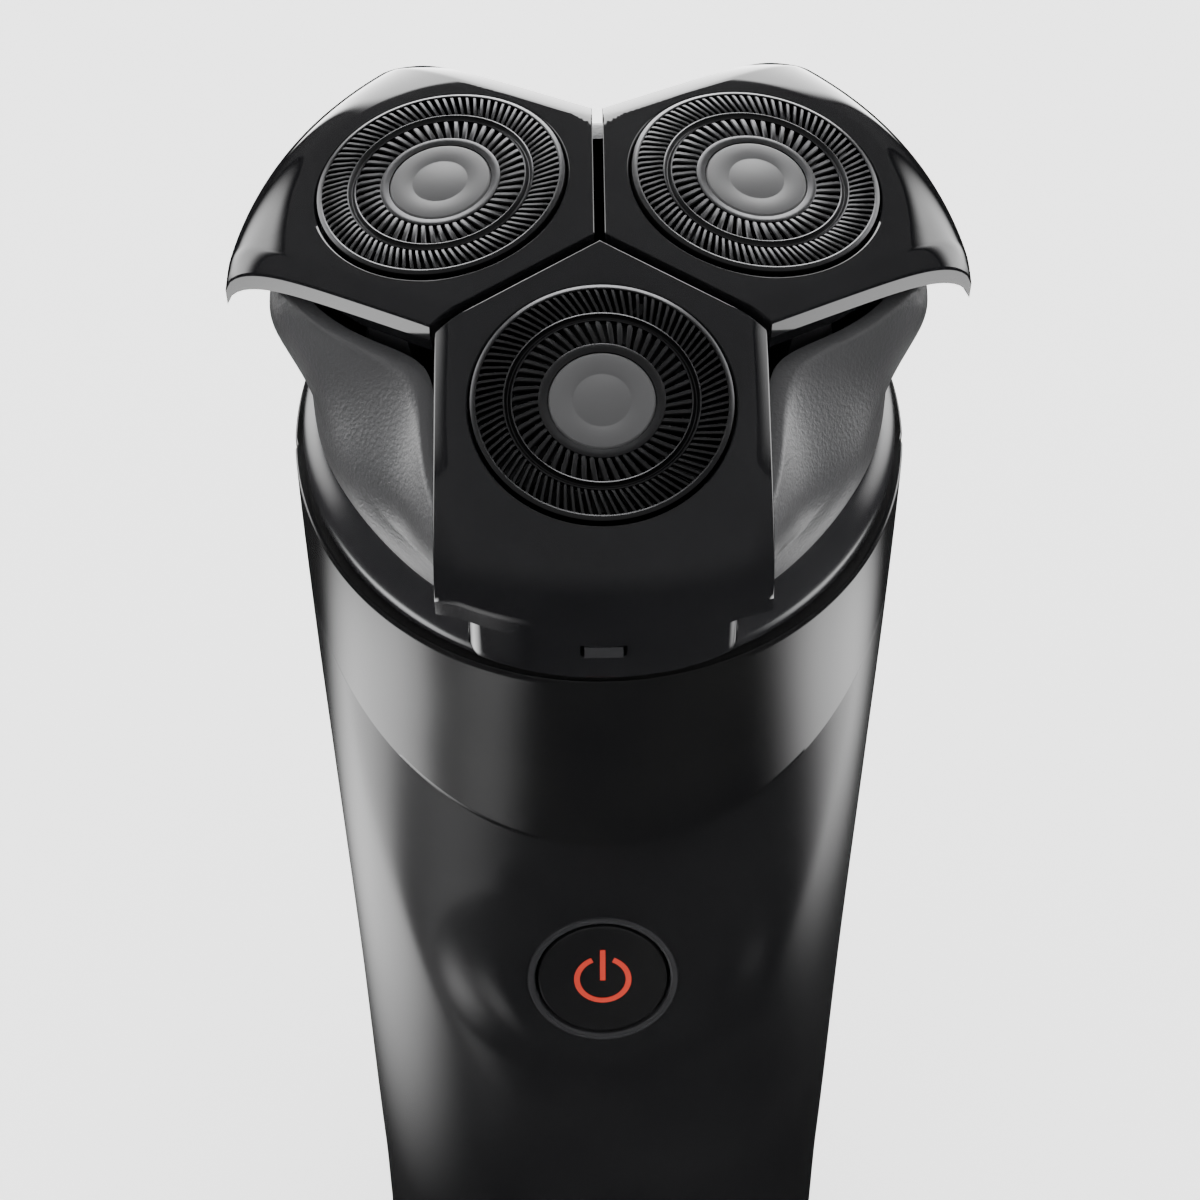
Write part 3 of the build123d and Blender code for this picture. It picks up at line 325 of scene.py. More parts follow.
def petalDrop(x, q):
    # fall of the petal's skin below its flat: an elliptic shoulder between a circle round the
    # shaving head and the rim, and a bevel along the straight sides
    dx = x - petal["disc"]
    rho, phi = np.hypot(dx, q), np.arctan2(q, dx)
    rim = petal["rim"] / cos(slope)
    reach = -petal["disc"] * np.cos(phi) + np.sqrt(rim ** 2 - (petal["disc"] * np.sin(phi)) ** 2)
    s = np.clip((rho - petal["flat"]) / (reach - petal["flat"]), 0, 1)
    side = np.clip((np.abs(q) - petal["half"] + petal["bevelWidth"]) / petal["bevelWidth"], 0, 1)
    return petal["shoulder"] * (1 - np.sqrt(np.maximum(1 - s * s, 0))) + petal["bevelDrop"] * side ** 1.25


def petalOutline():
    # corner between the neighbours, straight sides and the rim's arc, as points in order
    half, rim = petal["half"], petal["rim"]
    corner = petal["gap"] / 2 / sin(radians(60))
    shoulder = corner + half / tan(radians(60))
    end = sqrt(rim ** 2 - half ** 2)
    arc = np.linspace(-1, 1, 61) * np.arcsin(half / rim)
    eased = 0.5 - 0.5 * np.cos(np.linspace(0, pi, 25))
    path = [np.stack([corner + (shoulder - corner) * eased, half * eased], -1),
            np.stack([shoulder + (end - shoulder) * np.linspace(0, 1, 33)[1:], np.full(32, half)], -1),
            np.stack([rim * np.cos(arc[::-1]), rim * np.sin(arc[::-1])], -1)[1:-1],
            np.stack([end + (shoulder - end) * np.linspace(0, 1, 33), np.full(33, -half)], -1),
            np.stack([shoulder + (corner - shoulder) * eased, -half * (1 - eased)], -1)[1:-1]]
    points = np.concatenate(path)
    points[:, 0] /= cos(slope)
    return points


def petalPoints(x, q, drop, angle):
    # points on the petal's slope, let down by drop along the head's axis
    a = radians(angle)
    out, z = x * cos(slope), -x * sin(slope) - drop
    return toWorld(np.stack([out * cos(a) - q * sin(a), out * sin(a) + q * cos(a), z], -1))


def makePetal(name, angle):
    outline = petalOutline()
    dx, q = outline[:, 0] - petal["disc"], outline[:, 1]
    reach = np.hypot(dx, q)
    start, lip = petal["bore"] / reach, (petal["bore"] + 0.15) / reach
    # each step: share of the way to the outline, extra depth, and whether it stays flat
    steps = [(start, petal["wall"], True), (start, 0.16, True)]
    for k in np.sin(np.linspace(0, pi / 2, 44)):
        steps.append((lip + (1 - 0.12 / reach - lip) * k, 0, False))
    steps += [(1.0, 0.1, False), (1.0, 0.3, False), (1.0, petal["skirt"], False),
              (1 - 1.3 / reach, petal["skirt"], False)]
    for k in np.linspace(1, 0, 16):
        steps.append((start + (1 - 1.5 / reach - start) * k, petal["wall"], False))
    columns = []
    for t, extra, flat in steps:
        x, y = petal["disc"] + dx * t, q * t
        drop = extra + (0 if flat else petalDrop(x, y))
        columns.append(petalPoints(x, y, drop, angle))
    points = np.stack(columns, 1)
    skin = addMesh("petalSkin_" + name, points, gridFaces(len(outline), len(steps), True, True), finish["petal"], 50)
    place(skin, "petal_" + name, "petal_gloss", "petal_" + name)
    # a deeper wall set back inside the skirt, shallower towards the rim
    walls = []
    for inset, low in ((1.0, 0), (1.0, 1), (1.9, 1), (1.9, 0)):
        t = 1 - inset / reach
        x, y = petal["disc"] + dx * t, q * t
        depth = petal["apron"] + (petal["skirt"] - 0.3 - petal["apron"]) * np.clip((x - 16) / 8, 0, 1)
        walls.append(petalPoints(x, y, petalDrop(x, y) + (depth if low else 1.2), angle))
    points = np.stack(walls, 1)
    apron = addMesh("petalApron_" + name, points, gridFaces(len(outline), 4, True, True), finish["petal"], 50)
    place(apron, "petal_" + name, "petal_gloss")
    # lugs that the tilt pins turn in
    for side in (-1, 1):
        def lugPlace(p, side=side):
            across, above = side * (petal["lug"] + p[..., 2]), petal["lugHeight"] + p[..., 1]
            return petalToWorld(np.stack([petal["pivot"] + p[..., 0], across, above], -1), angle)
        lugName = "petalLug_" + name + ("Low" if side < 0 else "High")
        lug = blockMesh(lugName, (4.0, 4.9, -0.75, 0.75), lugPlace, finish["inner"], 0.4)
        points, faces = ring([(0.001, -2), (0.96, -2), (0.96, 2), (0.001, 2)], 24)
        carve(lug, addMesh("pinCutter", lugPlace(points + np.array([0, -0.65, 0])), faces, finish["inner"]))
        smooth(lug, 40)
        place(lug, "petal_" + name, "petal_gloss")
    wall = [(11.35, -1.4), (12.55, -1.4), (12.3, -3.8), (11.95, -6.0), (11.35, -6.0)]
    points, faces = ring(wall, 96)
    points[..., 0] += petal["disc"]
    holder = addMesh("petalHolder_" + name, petalToWorld(points, angle), faces, finish["inner"])
    place(holder, "petal_" + name, "petal_gloss")


# slotted guards and their caps
guard = {"tracks": ((5.15, 7.25, 50, 0.62), (8.0, 10.2, 92, 0.58)), "top": 0.45, "groove": 0.12, "edge": 10.68,
         "sheet": 0.32, "skew": 5.0}


def ribs(inner, outer, count, share, top, under, skew):
    # straight ribs between the slots: a rounded section at three stations along each rib
    width = 2 * pi * (inner + outer) / 2 / count * share
    section = np.array([(-0.5, -0.35), (-0.5, -0.1), (-0.3, 0.0), (0.3, 0.0), (0.5, -0.1), (0.5, -0.35)])
    stations = np.array([inner - 0.06, inner + 0.3, outer - 0.3, outer + 0.06])
    lift = np.array([-0.1, 0.0, 0.0, -0.1])
    angle = np.arange(count) * 2 * pi / count
    lean = radians(skew) * (stations - stations.mean()) / (outer - inner)
    wide = width * section[:, 0][None, :] * (0.75 + 0.25 * stations / stations.max())[:, None]
    turn = angle[:, None, None] + lean[None, :, None]
    r = stations[None, :, None]
    x = r * np.cos(turn) - wide[None] * np.sin(turn)
    y = r * np.sin(turn) + wide[None] * np.cos(turn)
    z = top + np.where(section[:, 1] < -0.3, under - top, section[:, 1])[None, None, :] + lift[None, :, None]
    points = np.stack([x, y, np.broadcast_to(z, x.shape)], -1)
    ns, nc = len(stations), len(section)
    one = gridFaces(ns, nc, False, True)
    ends = [(0, 1, 2, 5), (2, 3, 4, 5)]
    last = (ns - 1) * nc
    caps = [face[::-1] for face in ends] + [tuple(last + i for i in face) for face in ends]
    one = np.concatenate([one, np.array(caps)])
    faces = (one[None] + (np.arange(count) * ns * nc)[:, None, None]).reshape(-1, 4)
    return points.reshape(-1, 3), faces


def joinMesh(parts):
    points, faces, base = [], [], 0
    for p, f in parts:
        p = np.asarray(p).reshape(-1, 3)
        if signedVolume(p - p.mean(0), f) < 0:
            f = f[:, ::-1]
        points.append(p)
        faces.append(f + base)
        base += len(p)
    return np.concatenate(points), np.concatenate(faces)


def makeGuard(name, angle):
    top, sheet, groove = guard["top"], guard["sheet"], guard["groove"]
    (a0, a1, _, _), (b0, b1, _, _) = guard["tracks"]
    edge = guard["edge"]
    # the inner ring, the grooved ring between the two tracks, and the outer ring with its flange
    parts = [ring([(4.4, top - 0.1), (4.75, top - 0.02), (a0 - 0.1, top), (a0, top - 0.04), (a0, top - sheet),
                   (4.4, top - sheet)]),
             ring([(a1, top - 0.04), (a1 + 0.1, top), (a1 + 0.22, groove + 0.1), (a1 + 0.34, groove),
                   (b0 - 0.34, groove), (b0 - 0.22, groove + 0.1), (b0 - 0.1, top), (b0, top - 0.04),
                   (b0, groove - sheet), (a1, groove - sheet)]),
             ring([(b1, top - 0.04), (b1 + 0.12, top), (edge - 0.2, top - 0.05), (edge - 0.04, top - 0.16),
                   (edge, top - 0.35), (edge, -1.75), (11.15, -1.85), (11.15, -2.4), (10.3, -2.4),
                   (10.3, top - 0.5), (b1, top - 0.5)])]
    for inner, outer, count, share in guard["tracks"]:
        parts.append(ribs(inner, outer, count, share, top, top - sheet, guard["skew"]))
    points, faces = joinMesh(parts)
    points[:, 0] += petal["disc"]
    piece = addMesh("guardSlots_" + name, petalToWorld(points, angle), faces, finish["guard"], 30)
    place(piece, "petal_" + name, "guard_dark_steel", "guard_" + name)
    disc = [(0.001, 0.02), (0.001, 0.42), (2.2, 0.42), (2.3, 0.38), (2.42, 0.38), (2.52, 0.42), (3.9, 0.42),
            (4.2, 0.36), (4.34, 0.22), (4.35, 0.02)]
    stem = [(0.001, 0.05), (0.8, 0.05), (0.8, -4.5), (0.001, -4.5)]
    points, faces = joinMesh([ring(disc, 96), ring(stem, 24)])
    points[:, 0] += petal["disc"]
    points[:, 2] += 0.05
    piece = addMesh("capDisc_" + name, petalToWorld(points, angle), faces, finish["cap"], 30)
    place(piece, "petal_" + name, "cap_gray", "cap_" + name)


for petalName, petalAngle in petalAngles.items():
    makePetal(petalName, petalAngle)
    makeGuard(petalName, petalAngle)
print("petals done")


# hair chamber: skin, base ring, front tab and knuckle
chamber = {"valley": 18.6, "lobe": 28.8, "waist": 25.1, "crease": 19.4, "creaseDip": 2.4, "ring": 26.5,
           "bottom": 26.65, "wall": 1.5, "top": 7.2, "bore": 23.1}


def ease(x):
    # a smooth step from 0 to 1
    x = np.clip(x, 0, 1)
    return x * x * (3 - 2 * x)


def makeChamber():
    # cross sections narrow in the three valleys and full under the petals; off runs from 0 in a
    # valley to 1 at the middle of a petal, and t from the top edge down to the crease
    turn = np.linspace(0, 2 * pi, 361)[:-1]
    off = (np.abs((np.degrees(turn) - 90 + 60) % 120 - 60) / 60)[:, None]
    full = 0.5 - 0.5 * np.cos(pi * np.clip(off / 0.75, 0, 1))
    reach = chamber["valley"] + (chamber["lobe"] - chamber["valley"]) * full
    top = chamber["top"] + 1.2 * ease(off / 0.5) + 1.9 * ease((off - 0.5) / 0.16)
    crease = chamber["crease"] + chamber["creaseDip"] * ease(off / 0.7)
    t = np.linspace(0, 1, 44)[None]
    pull = (1 - full) * np.sin(pi * t / 2) + full * ease(t)
    bulge = (2.3 - 1.4 * ease((off - 0.5) / 0.2)) * full * np.sin(pi * np.clip(t / 0.72, 0, 1))
    skinR = reach + (chamber["waist"] - reach) * pull + bulge + 0.35 * np.sin(pi * t) * (1 - full)
    skinZ = top + (crease - top) * t
    # a soft crease, then the smooth band that flares out to the ring at the bottom
    u = np.linspace(0, 1, 16)[None]
    bandZ = crease + 0.75 + (chamber["bottom"] - 1.4 - crease - 0.75) * u
    ones = np.ones_like(off)
    bandR = ones * (chamber["waist"] - 0.35 + (chamber["ring"] - chamber["waist"] + 0.35) * ease(u) ** 0.8)
    creaseR = np.concatenate([skinR[:, -1:] - 0.02, skinR[:, -1:] - 0.2], 1)
    creaseZ = np.concatenate([crease + 0.2, crease + 0.5], 1)
    footR = ones * [chamber["ring"], chamber["ring"], chamber["ring"] - 0.18]
    footZ = ones * [chamber["bottom"] - 0.9, chamber["bottom"] - 0.2, chamber["bottom"]]

    def sheetPoints(radius, depth):
        return toWorld(np.stack([radius * np.cos(turn)[:, None], radius * np.sin(turn)[:, None], -depth], -1))

    outR = np.concatenate([skinR[:, :1] - 0.3, skinR, creaseR], 1)
    outZ = np.concatenate([skinZ[:, :1] - 0.02, skinZ[:, :1] + 0.14, skinZ[:, 1:], creaseZ], 1)
    inner = sheetPoints(outR - chamber["wall"], outZ)
    piece = shellMesh("chamberSkin", sheetPoints(outR, outZ), inner, finish["skin"], True, 60)
    place(piece, "shaving_unit", "chamber_satin", "hair_chamber")
    outR = np.concatenate([creaseR[:, -1:], bandR, footR], 1)
    outZ = np.concatenate([creaseZ[:, -1:], bandZ, footZ], 1)
    inR = np.where(outZ > 22.5, chamber["bore"], np.minimum(outR - chamber["wall"], 24.0))
    piece = shellMesh("chamberBand", sheetPoints(outR, outZ), sheetPoints(inR, outZ), finish["band"], True, 60)
    place(piece, "shaving_unit", "chamber_satin")


def makeTab():
    # the plate under the front petal, with a rounded lower edge
    half, radius = 11.2, 29.6
    across = np.linspace(-1, 1, 61) * np.arcsin(half / radius)
    x, y = radius * np.sin(across), -radius * np.cos(across)
    bottom = 22.3 - 0.9 * (np.abs(x) / half) ** 3
    k = np.linspace(0, 1, 24)
    z = 11.2 + (bottom - 11.2)[:, None] * k[None]
    lowEdge = 0.35 * np.clip((k - 0.94) / 0.06, 0, 1)[None] ** 2
    pull = lowEdge + 0.9 * np.clip((np.abs(x) - half + 0.9) / 0.9, 0, 1)[:, None] ** 2
    outer = np.stack([np.broadcast_to(x[:, None], z.shape), y[:, None] + pull, -z], -1)
    inner = outer.copy()
    inner[..., 1] += 2.2 - pull * 0.6
    piece = shellMesh("frontTab", toWorld(outer), toWorld(inner), finish["petal"], False, 50)

    def slotPlace(p):
        return toWorld(np.stack([p[..., 0], -p[..., 2], p[..., 1] - 17.4], -1))

    carve(piece, blockMesh("slotCutter", (3.9, 2.2, 20, 40), slotPlace, finish["petal"], 0.2))
    smooth(piece, 40)
    place(piece, "shaving_unit", "petal_gloss")


def makeKnuckle():
    # barrel and web of the rear hinge
    a = np.linspace(-pi / 2, pi / 2, 17)
    barrel = np.stack([28.6 + 1.6 * np.cos(a), -24.5 + 1.6 * np.sin(a)], -1)
    barrel = np.concatenate([barrel, [[25.2, -22.9], [25.2, -26.1]]])
    x = np.array([-4.0, -3.9, 3.9, 4.0])
    scale = np.array([0.93, 1.0, 1.0, 0.93])
    centre = np.array([27.5, -24.5])
    section = centre + (barrel - centre)[None] * scale[:, None, None]
    end = np.broadcast_to(centre, section[:1].shape)
    closed = np.concatenate([end, section, end])
    xs = np.array([-4.0, *x, 4.0])
    points = np.stack([np.broadcast_to(xs[:, None], closed.shape[:2]), closed[..., 0], closed[..., 1]], -1)
    piece = addMesh("hingeKnuckle", toWorld(points), gridFaces(len(xs), len(barrel), False, True), finish["band"])
    place(piece, "shaving_unit", "chamber_satin")


makeChamber()
makeTab()
makeKnuckle()
print("chamber done")

# handle
handle = {"levels": (0.0, 3.0, 14.0, 40.0, 70.0, 95.0, 112.0, 127.0, 144.0),
          "half": (17.5, 20.2, 22.3, 23.6, 24.7, 25.9, 26.7, 27.2, 27.5),
          "front": (-14.0, -16.4, -17.8, -18.8, -18.8, -19.4, -21.0, -23.2, -25.4),
          "back": (13.6, 16.0, 17.6, 18.8, 20.0, 22.4, 25.4, 28.4, 31.2),
          "wall": 2.2, "seam": 1.5, "base": 7.0, "rim": 27.0, "foot": 34.6,
          "shield": (28.0, 25.5, 127.0), "dish": (23.5, 57.0, 118.0), "dishDepth": 2.9,
          "middle": (0, 2.0, 0), "draw": 0.14}
button = {"y": -17.6, "z": 81.5, "lean": 11.0, "bezel": 7.25, "inner": 6.5, "disc": 6.2}


def throughLevels(key, z):
    # smooth curve through the levels: cubic pieces with slopes from the neighbours
    x, y = np.array(handle["levels"]), np.array(handle[key])
    m = np.gradient(y, x)
    i = np.clip(np.searchsorted(x, z) - 1, 0, len(x) - 2)
    h = x[i + 1] - x[i]
    t = np.clip((z - x[i]) / h, 0, 1)
    return ((1 + 2 * t) * (1 - t) ** 2 * y[i] + t * (1 - t) ** 2 * h * m[i]
            + t * t * (3 - 2 * t) * y[i + 1] + t * t * (t - 1) * h * m[i + 1])


def handlePoint(turn, z, inset=0.0, dished=False):
    # an ellipse at each level; turn is 0 at the front and runs to the right
    half = throughLevels("half", z) - inset
    front, back = throughLevels("front", z) + inset, throughLevels("back", z) - inset
    x = half * np.sin(turn)
    y = (front + back) / 2 - (back - front) / 2 * np.cos(turn)
    if dished:
        y = y + dish(x, z, y)
    return np.stack([x, y, z * np.ones_like(x)], -1)


def dish(x, z, y):
    # a long scoop with a soft rim, flattened round the button
    rx, rz, centre = handle["dish"]
    off = 1 - np.sqrt((x / rx) ** 2 + ((centre - z) / rz) ** 2)
    off = (off + np.sqrt(off * off + 0.0012)) / 2
    depth = handle["dishDepth"] * (1 - (1 - np.clip(off, 0, 1)) ** 3)
    near = np.clip(1 - (np.hypot(x, z - button["z"]) - 7.6) / 9.0, 0, 1)
    near = near * near * (3 - 2 * near)
    plane = button["y"] + (z - button["z"]) * tan(radians(button["lean"]))
    return depth * (1 - near) + (plane - y) * near


def shieldEdge(x):
    # the lower half of an ellipse
    rx, rz, centre = handle["shield"]
    return centre - rz * np.sqrt(np.maximum(1 - (x / rx) ** 2, 0.0))


def slantAt(turn, drop, guess=125.0):
    # height at which the handle's skin meets a plane across the head's axis
    z = np.full_like(turn, guess)
    for _ in range(12):
        y = handlePoint(turn, z)[..., 1]
        across = (y - headOrigin[1] - drop * sin(tilt)) / cos(tilt)
        z = headOrigin[2] + across * sin(tilt) - drop * cos(tilt)
    return z


def band(low, high, count):
    # rows evenly spaced between a low and a high edge
    k = np.linspace(0, 1, count)
    return low[:, None] + (high - low)[:, None] * k[None]


def seamTurn(z):
    # where the skin crosses the seam between front and rear
    front, back = throughLevels("front", z), throughLevels("back", z)
    return np.arccos(np.clip(((front + back) / 2 - handle["seam"]) / ((back - front) / 2), -1, 1))


def halfGrid(columns, count, low, high, front=True):
    # turn angles run from seam to seam, and each column follows its own low and high edge
    k = np.linspace(-1, 1, columns)
    turn = k * pi / 2 if front else pi + k * pi / 2
    for _ in range(8):
        a, b = low(turn), high(turn)
        edge = seamTurn((a + b) / 2)
        turn = k * edge if front else pi + k * (pi - edge)
    z = band(low(turn), high(turn), count)
    edge = seamTurn(z)
    turns = k[:, None] * edge if front else pi + k[:, None] * (pi - edge)
    return turns, z


def shellPiece(name, turns, z, thickness, material, dished=False, lift=0.0, sharp=45):
    outer = handlePoint(turns, z, -lift, dished)
    inner = handlePoint(turns, z, thickness)
    if dished:
        # behind the dish the wall stays at least four fifths as thick
        deep = np.maximum(inner[..., 1], outer[..., 1] + thickness * 0.8)
        inner[..., 1] = np.where(np.cos(turns) > 0.3, deep, inner[..., 1])
    # the edges are drawn in a little, so that seams read as fine lines
    for line in (np.s_[:, 0], np.s_[:, -1], np.s_[0, :], np.s_[-1, :]):
        flat = outer[line] - handle["middle"]
        flat[..., 2] = 0
        outer[line] = outer[line] - handle["draw"] * flat / np.linalg.norm(flat, axis=-1, keepdims=True)
    return shellMesh(name, outer * mm, inner * mm, material, False, sharp)


def spaced(z, edge=0.16):
    # squeezes the first and last rows against the edges
    z = z.copy()
    z[:, 1] = z[:, 0] + edge
    z[:, -2] = z[:, -1] - edge
    return z


def makeHandle():
    base = lambda turn: np.full_like(turn, handle["base"] + 0.02)
    uEdge = lambda turn: shieldEdge(handlePoint(turn, np.full_like(turn, 112.0))[..., 0]) - 0.06
    turns, z = halfGrid(181, 150, base, uEdge)
    front = shellPiece("frontShell", turns, spaced(z), handle["wall"], finish["housing"], True)
    lean = radians(button["lean"])

    def buttonPlace(p):
        return np.stack([p[..., 0], button["y"] - p[..., 2] * cos(lean) + p[..., 1] * sin(lean),
                         button["z"] + p[..., 2] * sin(lean) + p[..., 1] * cos(lean)], -1) * mm

    points, faces = ring([(0.001, -9), (7.3, -9), (7.3, 6), (0.001, 6)], 96)
    cutter = addMesh("boreCutter", buttonPlace(points), faces, finish["housing"])
    carve(front, cutter)
    smooth(front, 45)
    place(front, "handle", "gloss_black", "front_housing")

    # the power button, its ring and its sign
    inner, outer, disc = button["inner"], button["bezel"], button["disc"]
    points, faces = ring([(inner, -2.6), (inner, 0.02), (inner + 0.06, 0.16), (inner + 0.2, 0.24), (inner + 0.45, 0.26),
                          (outer - 0.1, 0.2), (outer, 0.05), (outer, -2.6)], 128)
    place(addMesh("bezelRing", buttonPlace(points), faces, finish["bezel"]), "handle", "bezel_gray", "button_bezel")
    # fine circles turned into a face that sinks a little towards the middle
    lines = [(r, 0.1 + 0.012 * (i % 2) - 0.0045 * (disc - r)) for i, r in enumerate(np.linspace(5.6, 0.2, 28))]
    edge = [(0.001, -3.6), (6.9, -3.6), (6.9, -3.0), (disc, -2.9), (disc, -0.05), (disc - 0.08, 0.12),
            (disc - 0.25, 0.2), (disc - 0.45, 0.16)]
    points, faces = ring(edge + lines + [(0.001, 0.08)], 128)
    disc = addMesh("buttonDisc", buttonPlace(points), faces, finish["button"], 60)
    place(disc, "power_button", "button_black", "power_button")
    gap = radians(24)
    arc = np.linspace(pi / 2 + gap, 2 * pi + pi / 2 - gap, 73)
    section = np.array([(2.2, 0.02), (2.2, 0.135), (2.24, 0.15), (2.71, 0.15), (2.75, 0.135), (2.75, 0.02)])
    loop = np.stack([section[None, :, 0] * np.cos(arc)[:, None], section[None, :, 0] * np.sin(arc)[:, None],
                     np.broadcast_to(section[None, :, 1], (73, 6))], -1)
    ends = np.concatenate([np.broadcast_to(loop[:1].mean(1, keepdims=True), (1, 6, 3)), loop,
                           np.broadcast_to(loop[-1:].mean(1, keepdims=True), (1, 6, 3))])
    bar = np.array([(-0.26, -0.1), (0.26, -0.1), (0.26, 3.45), (-0.26, 3.45)])
    bars = np.stack([np.concatenate([b, np.full((4, 1), h)], 1) for b, h in
                     ((bar * 0 + (0, 1.6), 0.02), (bar, 0.02), (bar, 0.15), (bar * 0 + (0, 1.6), 0.15))], 1)
    points, faces = joinMesh([(ends, gridFaces(75, 6, False, True)), (bars, gridFaces(4, 4, True))])
    sign = addMesh("powerSign", buttonPlace(points), faces, finish["symbol"])
    place(sign, "power_button", "symbol_orange", "power_symbol")

    # shield between its round lower edge and the collar's rim
    rimLine = lambda turn: slantAt(turn, handle["rim"] + 0.02)
    turns, z = halfGrid(181, 60, lambda turn: uEdge(turn) + 0.12, rimLine)
    shield = shellPiece("shieldSkin", turns, spaced(z), 1.1, finish["shield"])
    place(shield, "handle", "gloss_shield", "front_shield")

    # rear shell with the wells of the trimmer and of its latch
    footLine = lambda turn: slantAt(turn, handle["foot"])
    turns, z = halfGrid(181, 140, base, lambda turn: footLine(turn) - 0.08, False)
    rear = shellPiece("rearShell", turns, spaced(z), handle["wall"], finish["housing"])
    trimLean = radians(11)

    def trimPlace(p):
        # sideways, up along the back, and outwards
        return np.stack([-p[..., 0], 25.6 + p[..., 1] * sin(trimLean) + p[..., 2] * cos(trimLean),
                         113.0 + p[..., 1] * cos(trimLean) - p[..., 2] * sin(trimLean)], -1) * mm

    def cutWell(size, corner, shift, toPlace, name):
        return blockMesh(name, size, lambda p: toPlace(p + np.array([0, shift, 0])), finish["housing"], corner)

    carve(rear, cutWell((20.6, 28.6, -5.5, 8), 0.8, 0.5, trimPlace, "trimmerCutter"))
    latchLean = radians(5.5)

    def latchPlace(p):
        return np.stack([-p[..., 0], 21.6 + p[..., 1] * sin(latchLean) + p[..., 2] * cos(latchLean),
                         88.0 + p[..., 1] * cos(latchLean) - p[..., 2] * sin(latchLean)], -1) * mm

    carve(rear, cutWell((11.6, 10.6, -1.45, 6), 0.8, 2.0, latchPlace, "latchCutter"))
    carve(rear, cutWell((3.8, 7.8, -8, 4), 0.3, 2.0, latchPlace, "slotCutter2"))
    smooth(rear, 45)
    place(rear, "handle", "gloss_black", "rear_housing")
    # the tray behind the trimmer: a box with an open front
    tray = blockMesh("trimmerTray", (23.2, 31.2, -6.9, -2.6), lambda p: trimPlace(p + np.array([0, 0.5, 0])),
                     finish["inner"], 1.0)
    carve(tray, cutWell((20.6, 28.6, -5.5, 8), 0.8, 0.5, trimPlace, "trayCutter"))
    smooth(tray, 40)
    place(tray, "handle", "gloss_black")

    # collar behind the shield
    turns, z = halfGrid(121, 24, lambda turn: footLine(turn) + 0.04, rimLine, False)
    collar = shellPiece("collarSkin", turns, spaced(z), 2.0, finish["collar"])
    place(collar, "handle", "collar_black", "neck_collar")
    # the rim's top and the step that the deck sits in
    turn = np.linspace(-pi, pi, 241)[:-1]
    zs = slantAt(turn, handle["rim"])
    edge = handlePoint(turn, zs)
    local = (edge - headOrigin) @ headAxes.T
    outerLine = local[:, :2]
    length = np.linalg.norm(outerLine, axis=1, keepdims=True)
    unit = outerLine / length
    rings = [(length - 1.05, 33.0), (length - 1.2, 27.3), (length - 0.25, 27.04), (length * 0 + 24.75, 27.04),
             (length * 0 + 24.72, 28.45), (length * 0 + 23.55, 28.5), (length * 0 + 23.5, 33.0)]
    points = np.stack([np.concatenate([unit * r, np.full((len(turn), 1), -d)], 1) for r, d in rings], 1)
    rim = addMesh("collarRim", toWorld(points), gridFaces(len(turn), len(rings), True, True), finish["collar"])
    place(rim, "handle", "collar_black")
    for sign in (-1, 1):
        ear = np.linspace(-pi / 2, pi / 2, 17)
        a = np.stack([28.6 + 1.6 * np.sin(ear), -24.5 + 1.6 * np.cos(ear)], -1)
        a = np.concatenate([a, [[30.2, -33.6], [28.9, -34.5], [27.2, -34.5]]])
        xs = sign * np.array([4.3, 4.3, 4.4, 7.2, 7.3, 7.3])
        centre = np.array([28.6, -28.5])
        sizes = np.array([0, 0.95, 1, 1, 0.95, 0])
        section = centre + (a - centre)[None] * sizes[:, None, None]
        points = np.stack([np.broadcast_to(xs[:, None], section.shape[:2]), section[..., 0], section[..., 1]], -1)
        earName = "hingeEar_" + ("left" if sign < 0 else "right")
        piece = addMesh(earName, toWorld(points), gridFaces(6, len(a), False, True), finish["collar"])
        place(piece, "handle", "collar_black")

    # base with a rounded foot
    turn = np.linspace(-pi, pi, 181)[:-1]
    levels = [(0.0, 0.0), (0.0, 0.35), (0.0, 0.97), (0.12, 1.0), (0.8, 1), (1.6, 1), (2.6, 1), (4, 1), (5.5, 1),
              (6.8, 1), (6.93, 0.993)]
    rows = []
    for level, scale in levels:
        p = handlePoint(turn, np.full_like(turn, level))
        rows.append(p * np.array([scale, scale, 1]))
    for level, inset in ((6.93, 2.35), (9.9, 2.4), (10.0, 2.6), (10.0, 3.8), (2.6, 4.2)):
        p = handlePoint(turn, np.full_like(turn, level), inset)
        rows.append(p)
    rows.append(rows[-1] * np.array([0.0, 0.0, 1]))
    rows[0] = rows[0] * np.array([0.0, 0.0, 1])
    points = np.stack(rows, 1) * mm
    foot = addMesh("baseShell", points, gridFaces(len(turn), len(rows), True), finish["housing"], 40)
    low, high = (np.array(c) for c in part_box("charge_socket"))
    cutter = blockMesh("socketCutter", ((high[0] - low[0]) / mm + 0.1, (high[1] - low[1]) / mm + 0.1, -2, 5),
                       lambda p: (p + np.array([0, (low[1] + high[1]) / 2 / mm, 0])) * mm, finish["housing"])
    carve(foot, cutter)
    smooth(foot, 40)
    place(foot, "handle", "base_black", "base_cap")

    # charge lamp: a small domed lens
    points, faces = ring([(0.001, -1.2), (1.3, -1.2), (1.3, 0.0), (1.1, 0.06), (0.6, 0.1), (0.001, 0.11)], 32)
    spot = handlePoint(np.array([0.0]), np.array([42.0]), 0.0, True)[0]
    lens = np.stack([points[..., 0], spot[1] - points[..., 2] + 0.02, 42.0 + points[..., 1]], -1) * mm
    place(addMesh("lampLens", lens, faces, finish["lamp"]), "handle", "lamp_clear", "charge_lamp")


makeHandle()
print("handle done")

